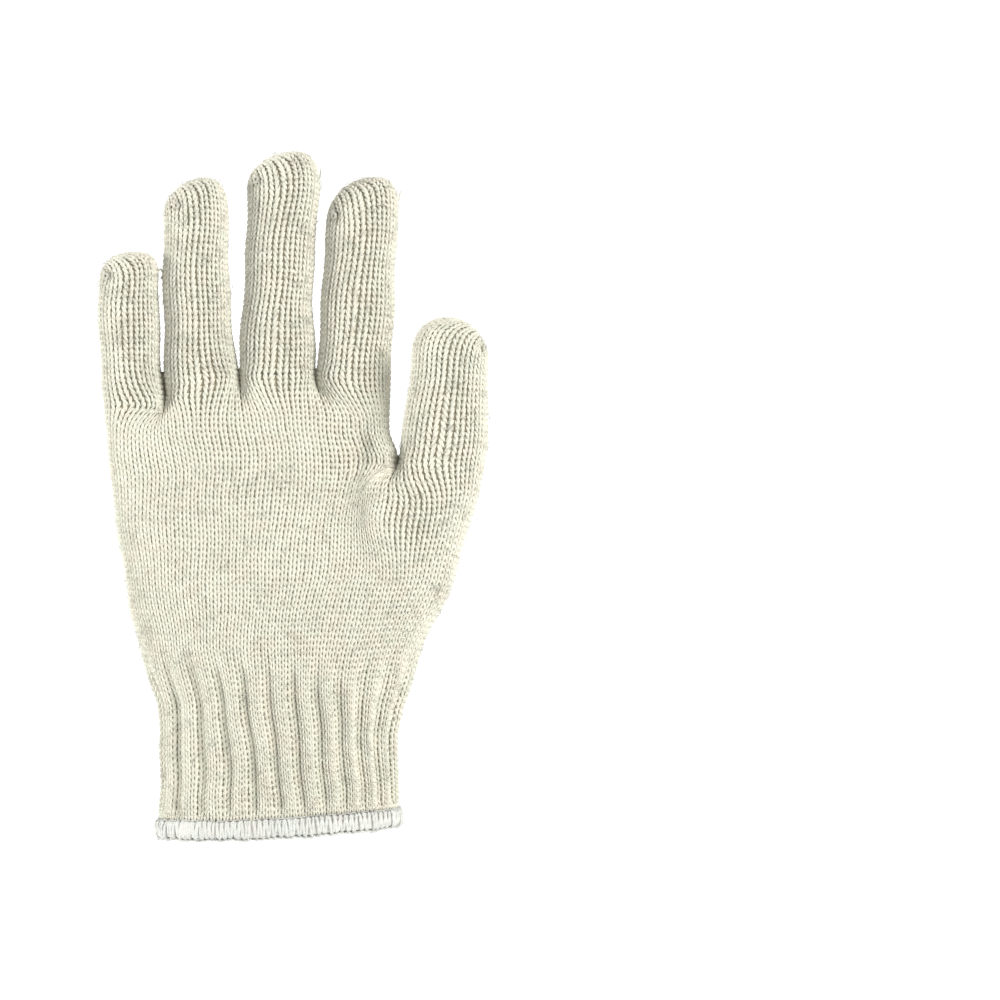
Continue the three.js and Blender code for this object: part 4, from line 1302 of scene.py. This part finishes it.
# %% Fuzz
PALM_HAIRS = 2100               # on the cuff and the palm together
TUBE_HAIRS = 6                  # on each millimetre of a finger's length
HAIR_CHANCE = {"lean": math.pi, "variation": 0.3}
hair_parts = new_parts()
hair_line = [(-0.55, -0.1, -0.25 * MM), (-0.1, 0.12, 0.25 * MM), (0.35, 0.05, 0.45 * MM),
             (0.75, -0.25, 0.95 * MM)]
add_strand(hair_parts, hair_line, [0.022, 0.022, 0.018, 0.010], [0.05 * MM] * 4, sides=3)
fibre = tile_object("fibre", hair_parts)
chance = np.random.default_rng(5)


def hair_plan(count, wales, low, high):
    where = np.stack([chance.uniform(0, wales, count), chance.uniform(low, high, count)], axis=-1)
    sizes = chance.uniform(0.6, 1.6, (count, 1)) * np.array([1.0, 1.0, 0.8])
    return [(wale, course, tuple(size)) for (wale, course), size in zip(where, sizes)]


plan = hair_plan(PALM_HAIRS, ROUND_WALES, hem_row + 1, crotch_row - 1)
hairs = [knit("hairs", plan, forms["whole"], fibre, ivory, seed=81, **HAIR_CHANCE)]
for index, tube in enumerate(TUBES):
    low = max(stands[index]["low"], stands[index]["high"]) / COURSE
    plan = hair_plan(int(tube["length"] / MM * TUBE_HAIRS), 2 * tube["wales"], low, last_course[index] - 1)
    hairs.append(knit("hairs", plan, forms[tube["node"]], fibre, ivory, seed=82 + index, **HAIR_CHANCE))
pieces["fuzz"] = join("fuzz", hairs)
print("triangles in the fuzz", triangles(pieces["fuzz"]))

# %% [markdown]
# ## Knots and loose ends
# At each tip the last loops are drawn together and the end of the yarn is knotted. It shows as a small curl
# in a dimple. Two short ends stick out beside the middle and the index finger's tips, a tuft joins the
# little and the ring finger, and a small loop of thread stands off the hem behind. Each is a tube along a
# smooth line, because only a handful of them are needed.


# %% Yarn ends
def smooth_line(knots):
    """Six points to each step of a line that bends smoothly through its knots."""
    knots = np.array(knots)
    last = len(knots) - 1
    line = []
    for value in np.linspace(0, last, 6 * last + 1):
        here = min(int(value), last - 1)
        t = value - here
        p0, p1, p2, p3 = (knots[int(np.clip(here + k, 0, last))] for k in (-1, 0, 1, 2))
        line.append(0.5 * (2 * p1 + (p2 - p0) * t + (2 * p0 - 5 * p1 + 4 * p2 - p3) * t ** 2
                           + (3 * p1 - p0 - 3 * p2 + p3) * t ** 3))
    return np.array(line)


def yarn_end(name, knots, radius, material, sides=8):
    """A short piece of yarn along a smooth line, round at both ends."""
    line = smooth_line(knots)
    last = len(line) - 1
    points = []
    side = np.array([0.3, 0.2, 1.0])
    for step, point in enumerate(line):
        run = line[min(step + 1, last)] - line[max(step - 1, 0)]
        run /= np.linalg.norm(run)
        side = side - run * np.dot(side, run)
        side /= np.linalg.norm(side)
        other = np.cross(run, side)
        fat = radius * math.sqrt(max(0.05, 1 - abs(2 * step / last - 1) ** 8))
        for turn in range(sides):
            angle = 2 * math.pi * turn / sides
            points.append(tuple(point + fat * (math.cos(angle) * side + math.sin(angle) * other)))
    faces = []
    for step in range(last):
        faces += ring_faces(sides, step * sides, (step + 1) * sides)
    faces.append(tuple(range(sides))[::-1])
    faces.append(tuple(last * sides + turn for turn in range(sides)))
    made = mesh_object(name, points, faces, material)
    layer = made.data.uv_layers.new(name="yarn")
    for loop in made.data.loops:
        vertex = loop.vertex_index
        layer.data[loop.index].uv = (vertex // sides * 0.25, vertex % sides / sides)
    return made


def knot_line(centre, out, along, size):
    """A little curl round a tip's centre, with its end running off along the surface."""
    side = np.cross(out, along)
    line = []
    for step in range(9):
        angle = 2 * math.pi * (step / 6 - 0.1)
        ring = math.cos(angle) * along + math.sin(angle) * side
        line.append(centre + size * ring + out * (0.1 + 0.10 * step) * size)
    line.append(centre + 1.9 * size * along + 0.7 * size * side + 0.3 * size * out)
    line.append(centre + 2.6 * size * along + 1.2 * size * side - 0.8 * size * out)
    return line


KNOT_SIZE = 0.9 * MM
KNOT_YARN = 0.45 * MM
ends = []
for centre, out in dimples:
    along = np.cross(out, [0.2, -1.0, 0.3])
    along /= np.linalg.norm(along)
    knot = knot_line(centre - out * 0.5 * MM, out, along, KNOT_SIZE)
    ends.append(yarn_end("knot", knot, KNOT_YARN, ivory))


def surface_point(index, turn, height, out):
    """A point that stands off a tube by some distance."""
    point = uneven(tube_row(index, np.array([turn]), height))[0]
    middle = tube_row(index, np.array([0.0, 1.0]), height).mean(axis=0)
    away = (point - middle) / np.linalg.norm(point - middle)
    return point + away * out


for index, turn, share in ((3, 0.97, 0.84), (2, 0.98, 0.86)):
    height = share * TUBES[index]["length"]
    offsets = [(0.0, -2.0, -1.2), (0.0, 0.0, 0.3), (0.02, 1.6, 1.3), (0.05, 2.4, 2.6)]
    line = [surface_point(index, turn + aside, height + up * MM, out * MM) for aside, up, out in offsets]
    ends.append(yarn_end("loose end", line, 0.28 * MM, ivory))
corner = hem_point(np.array([97.0, 95.0]), math.radians(-40), 0.2 * MM)
between = (corner[0] + corner[1]) / 2
loop_steps = [(corner[0], 0.3, -0.4, 2.0), (corner[0], 0, 0, 0), (corner[0], -1.4, 1.8, -1.0),
              (between, -1.2, 3.0, -1.8), (corner[1], 0.2, 2.2, -1.0), (corner[1], 0, 0, 0),
              (corner[1], 0.5, -0.6, 1.8)]
loop_line = [start + np.array(step) * MM for start, *step in loop_steps]
hem_end = yarn_end("hem loop", loop_line, 0.30 * MM, white)
tuft_steps = [(0, 0.93, 0.80, -0.8), (0, 0.95, 0.82, 0.5), (0, 0.98, 0.80, 1.5), (1, 0.03, 0.50, 0.4)]
tuft = [surface_point(index, turn, share * TUBES[index]["length"], out * MM)
        for index, turn, share, out in tuft_steps]
ends.append(yarn_end("tuft", tuft, 0.35 * MM, ivory))
pieces["hem"] = join("hem", [pieces["hem"], hem_end])
pieces["yarn_ends"] = join("yarn_ends", ends)
print("triangles in the yarn ends", triangles(pieces["yarn_ends"]))

# %% [markdown]
# ## The ground behind the stitches
# Between the wales one looks past the yarn into the loops behind. A thin closed skin a little under the
# stitches stands for them. Its colour is painted shade, far darker than the ivory yarn, for the shadow in the
# gaps of the knit. It is hollow, so the glove stays a glove, open at the cuff.

# %% Ground skins
SKIN_OUT = 1.30 * MM            # how far under the form the outer wall lies
SKIN_IN = 1.95 * MM             # and the inner wall
skin_points = []
skin_faces = []


def skin_rings(name, low, high):
    """Every second row of a form inside a range of courses, as rings of points and outward directions."""
    courses, net, outward = nets[forms[name].name]
    ring = slice(2 * NET_SPARE, -2 * NET_SPARE - 1, 2)
    chosen = np.flatnonzero((courses > low - 0.01) & (courses < high + 0.01))
    chosen = np.append(chosen[:-1:2], chosen[-1])
    return net[chosen][:, ring], outward[chosen][:, ring]


def set_in(points, outward, depth):
    """Moves rings inwards, but never past the middle between the front and the back."""
    moved = points - outward * depth
    facing = np.concatenate([points[:, :1], points[:, :0:-1]], axis=1)
    middle = (points[..., 1] + facing[..., 1]) / 2
    half = points[..., 1] - middle
    room = np.maximum(0, np.abs(half) - 0.15 * MM)
    shift = moved[..., 1] - middle
    moved[..., 1] = middle + np.sign(half) * np.clip(shift * np.sign(half), 0.0, room)
    return moved


def add_skin(name, low, high, closed_top):
    """A double skin over one form, its two walls joined at the open ends."""
    rings, outward = skin_rings(name, low, high)
    count = rings.shape[1]
    base = sum(len(part) for part in skin_points)
    top = base + (2 * len(rings) - 1) * count
    walls = np.concatenate([set_in(rings, outward, SKIN_IN)[::-1], set_in(rings, outward, SKIN_OUT)])
    skin_points.append(walls.reshape(-1, 3))
    for here in range(base, top, count):
        skin_faces.extend(ring_faces(count, here, here + count))
    if closed_top:
        skin_faces.append(tuple(range(base, base + count))[::-1])
        skin_faces.append(tuple(range(top, top + count)))
    else:
        skin_faces.extend(ring_faces(count, top, base))


add_skin("whole", 2, crotch_course + 0.5, False)
add_skin("hand", crotch_course - 0.5, CROTCH_TOP / COURSE + 0.5, False)
for index, tube in enumerate(TUBES):
    low = min(stands[index]["low"], stands[index]["high"]) / COURSE
    add_skin(tube["node"], low - 1, last_course[index], True)
# the ground skin carries the painted shade of the gaps in the knit
ground = mesh_object("inner_knit", np.concatenate(skin_points).tolist(), skin_faces, inner)
pieces["inner_knit"] = ground
print("triangles in the ground", triangles(ground))

# %% [markdown]
# ## Floor, backdrop and light
# The glove is photographed upright before white paper. A pale floor and a wall of the same paper stand well
# behind and below it. A soft light in front, to the right and above, shapes the knit. A weaker one from the
# left grazes the little finger and the thumb and leaves the other fingers' left flanks in half shade. A third
# lights the backdrop alone, and a white world fills in the rest.

# %% Stage
STAGE_HALF = 7                  # metres
FLOOR = -300 * MM
FLOOR_FRONT = -5
BACK = 4.2
BACK_TOP = 5


def plane(name, corners, material):
    made = mesh_object(name, corners, [(0, 1, 2, 3)], material, rounded_look=False)
    made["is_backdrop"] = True
    return made


paper = bpy.data.materials.new("white paper")
paper.use_nodes = True
paper_tree = paper.node_tree
ramp = put(paper_tree, "ShaderNodeValToRGB", {0: noise(paper_tree, 14.0)})
ramp.color_ramp.elements[0].color = (0.93, 0.93, 0.93, 1)
ramp.color_ramp.elements[1].color = (0.96, 0.96, 0.96, 1)
paper_finish = {"Base Color": ramp.outputs[0], "Roughness": 0.9, "Specular IOR Level": 0.1}
for key, value in paper_finish.items():
    feed(paper_tree, paper_tree.nodes["Principled BSDF"].inputs[key], value)
foot = [(-STAGE_HALF, BACK, FLOOR), (STAGE_HALF, BACK, FLOOR)]
front_edge = [(-STAGE_HALF, FLOOR_FRONT, FLOOR), (STAGE_HALF, FLOOR_FRONT, FLOOR)]
top_edge = [(STAGE_HALF, BACK, BACK_TOP), (-STAGE_HALF, BACK, BACK_TOP)]
plane("floor", front_edge + foot[::-1], paper)
plane("backdrop", foot + top_edge, paper)
print("floor and backdrop stand at", FLOOR / MM, "mm and", BACK, "m")


# %% Light
GLOVE_MIDDLE = (0, 0, 0.12)
WORLD_STRENGTH = 0.475
LIGHTS = [
    {"name": "key light", "place": (1.15, -1.3, 1.0), "target": GLOVE_MIDDLE, "size": 0.8, "power": 28,
     "colour": (1, 0.99, 0.97)},
    {"name": "side light", "place": (-1.6, -0.08, 0.3), "target": GLOVE_MIDDLE, "size": 0.4, "power": 18,
     "colour": (1, 1, 1)},
    {"name": "backdrop light", "place": (0.0, 1.6, 2.6), "target": (0.1, BACK, 0.3), "size": 2.0, "power": 95,
     "colour": (1, 1, 1)},
]


def soft_light(name, place, target, size, power, colour):
    data = bpy.data.lights.new(name, "AREA")
    data.shape = "DISK"
    data.size = size
    data.energy = power
    data.color = colour
    made = bpy.data.objects.new(name, data)
    made.location = place
    aim = Vector(target) - Vector(place)
    made.rotation_euler = aim.to_track_quat("-Z", "Y").to_euler()
    bpy.context.collection.objects.link(made)


for light in LIGHTS:
    soft_light(**light)
world = bpy.data.worlds.new("white room")
world.use_nodes = True
world.node_tree.nodes["Background"].inputs["Color"].default_value = (1, 1, 1, 1)
world.node_tree.nodes["Background"].inputs["Strength"].default_value = WORLD_STRENGTH
bpy.context.scene.world = world
bpy.context.scene.view_settings.view_transform = "Standard"
print("lights", [light["name"] for light in LIGHTS])

# %% [markdown]
# ## Ride and finish
# The forms and the tiles have done their work and are taken away. Every piece rides on the glove's only body,
# and the solids under the pieces are hidden.

# %% Finish
for form in forms.values():
    bpy.data.objects.remove(form)
for tile in (stitch, overlock_loop, fibre):
    bpy.data.objects.remove(tile)
for name, piece in pieces.items():
    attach(piece, "root")
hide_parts("overlock_hem")
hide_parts("rib_cuff")
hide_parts("palm")
for tube in TUBES:
    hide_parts(tube["node"])
low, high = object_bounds()
print("visual box in mm", [round(v / MM, 1) for v in (*low, *high)])
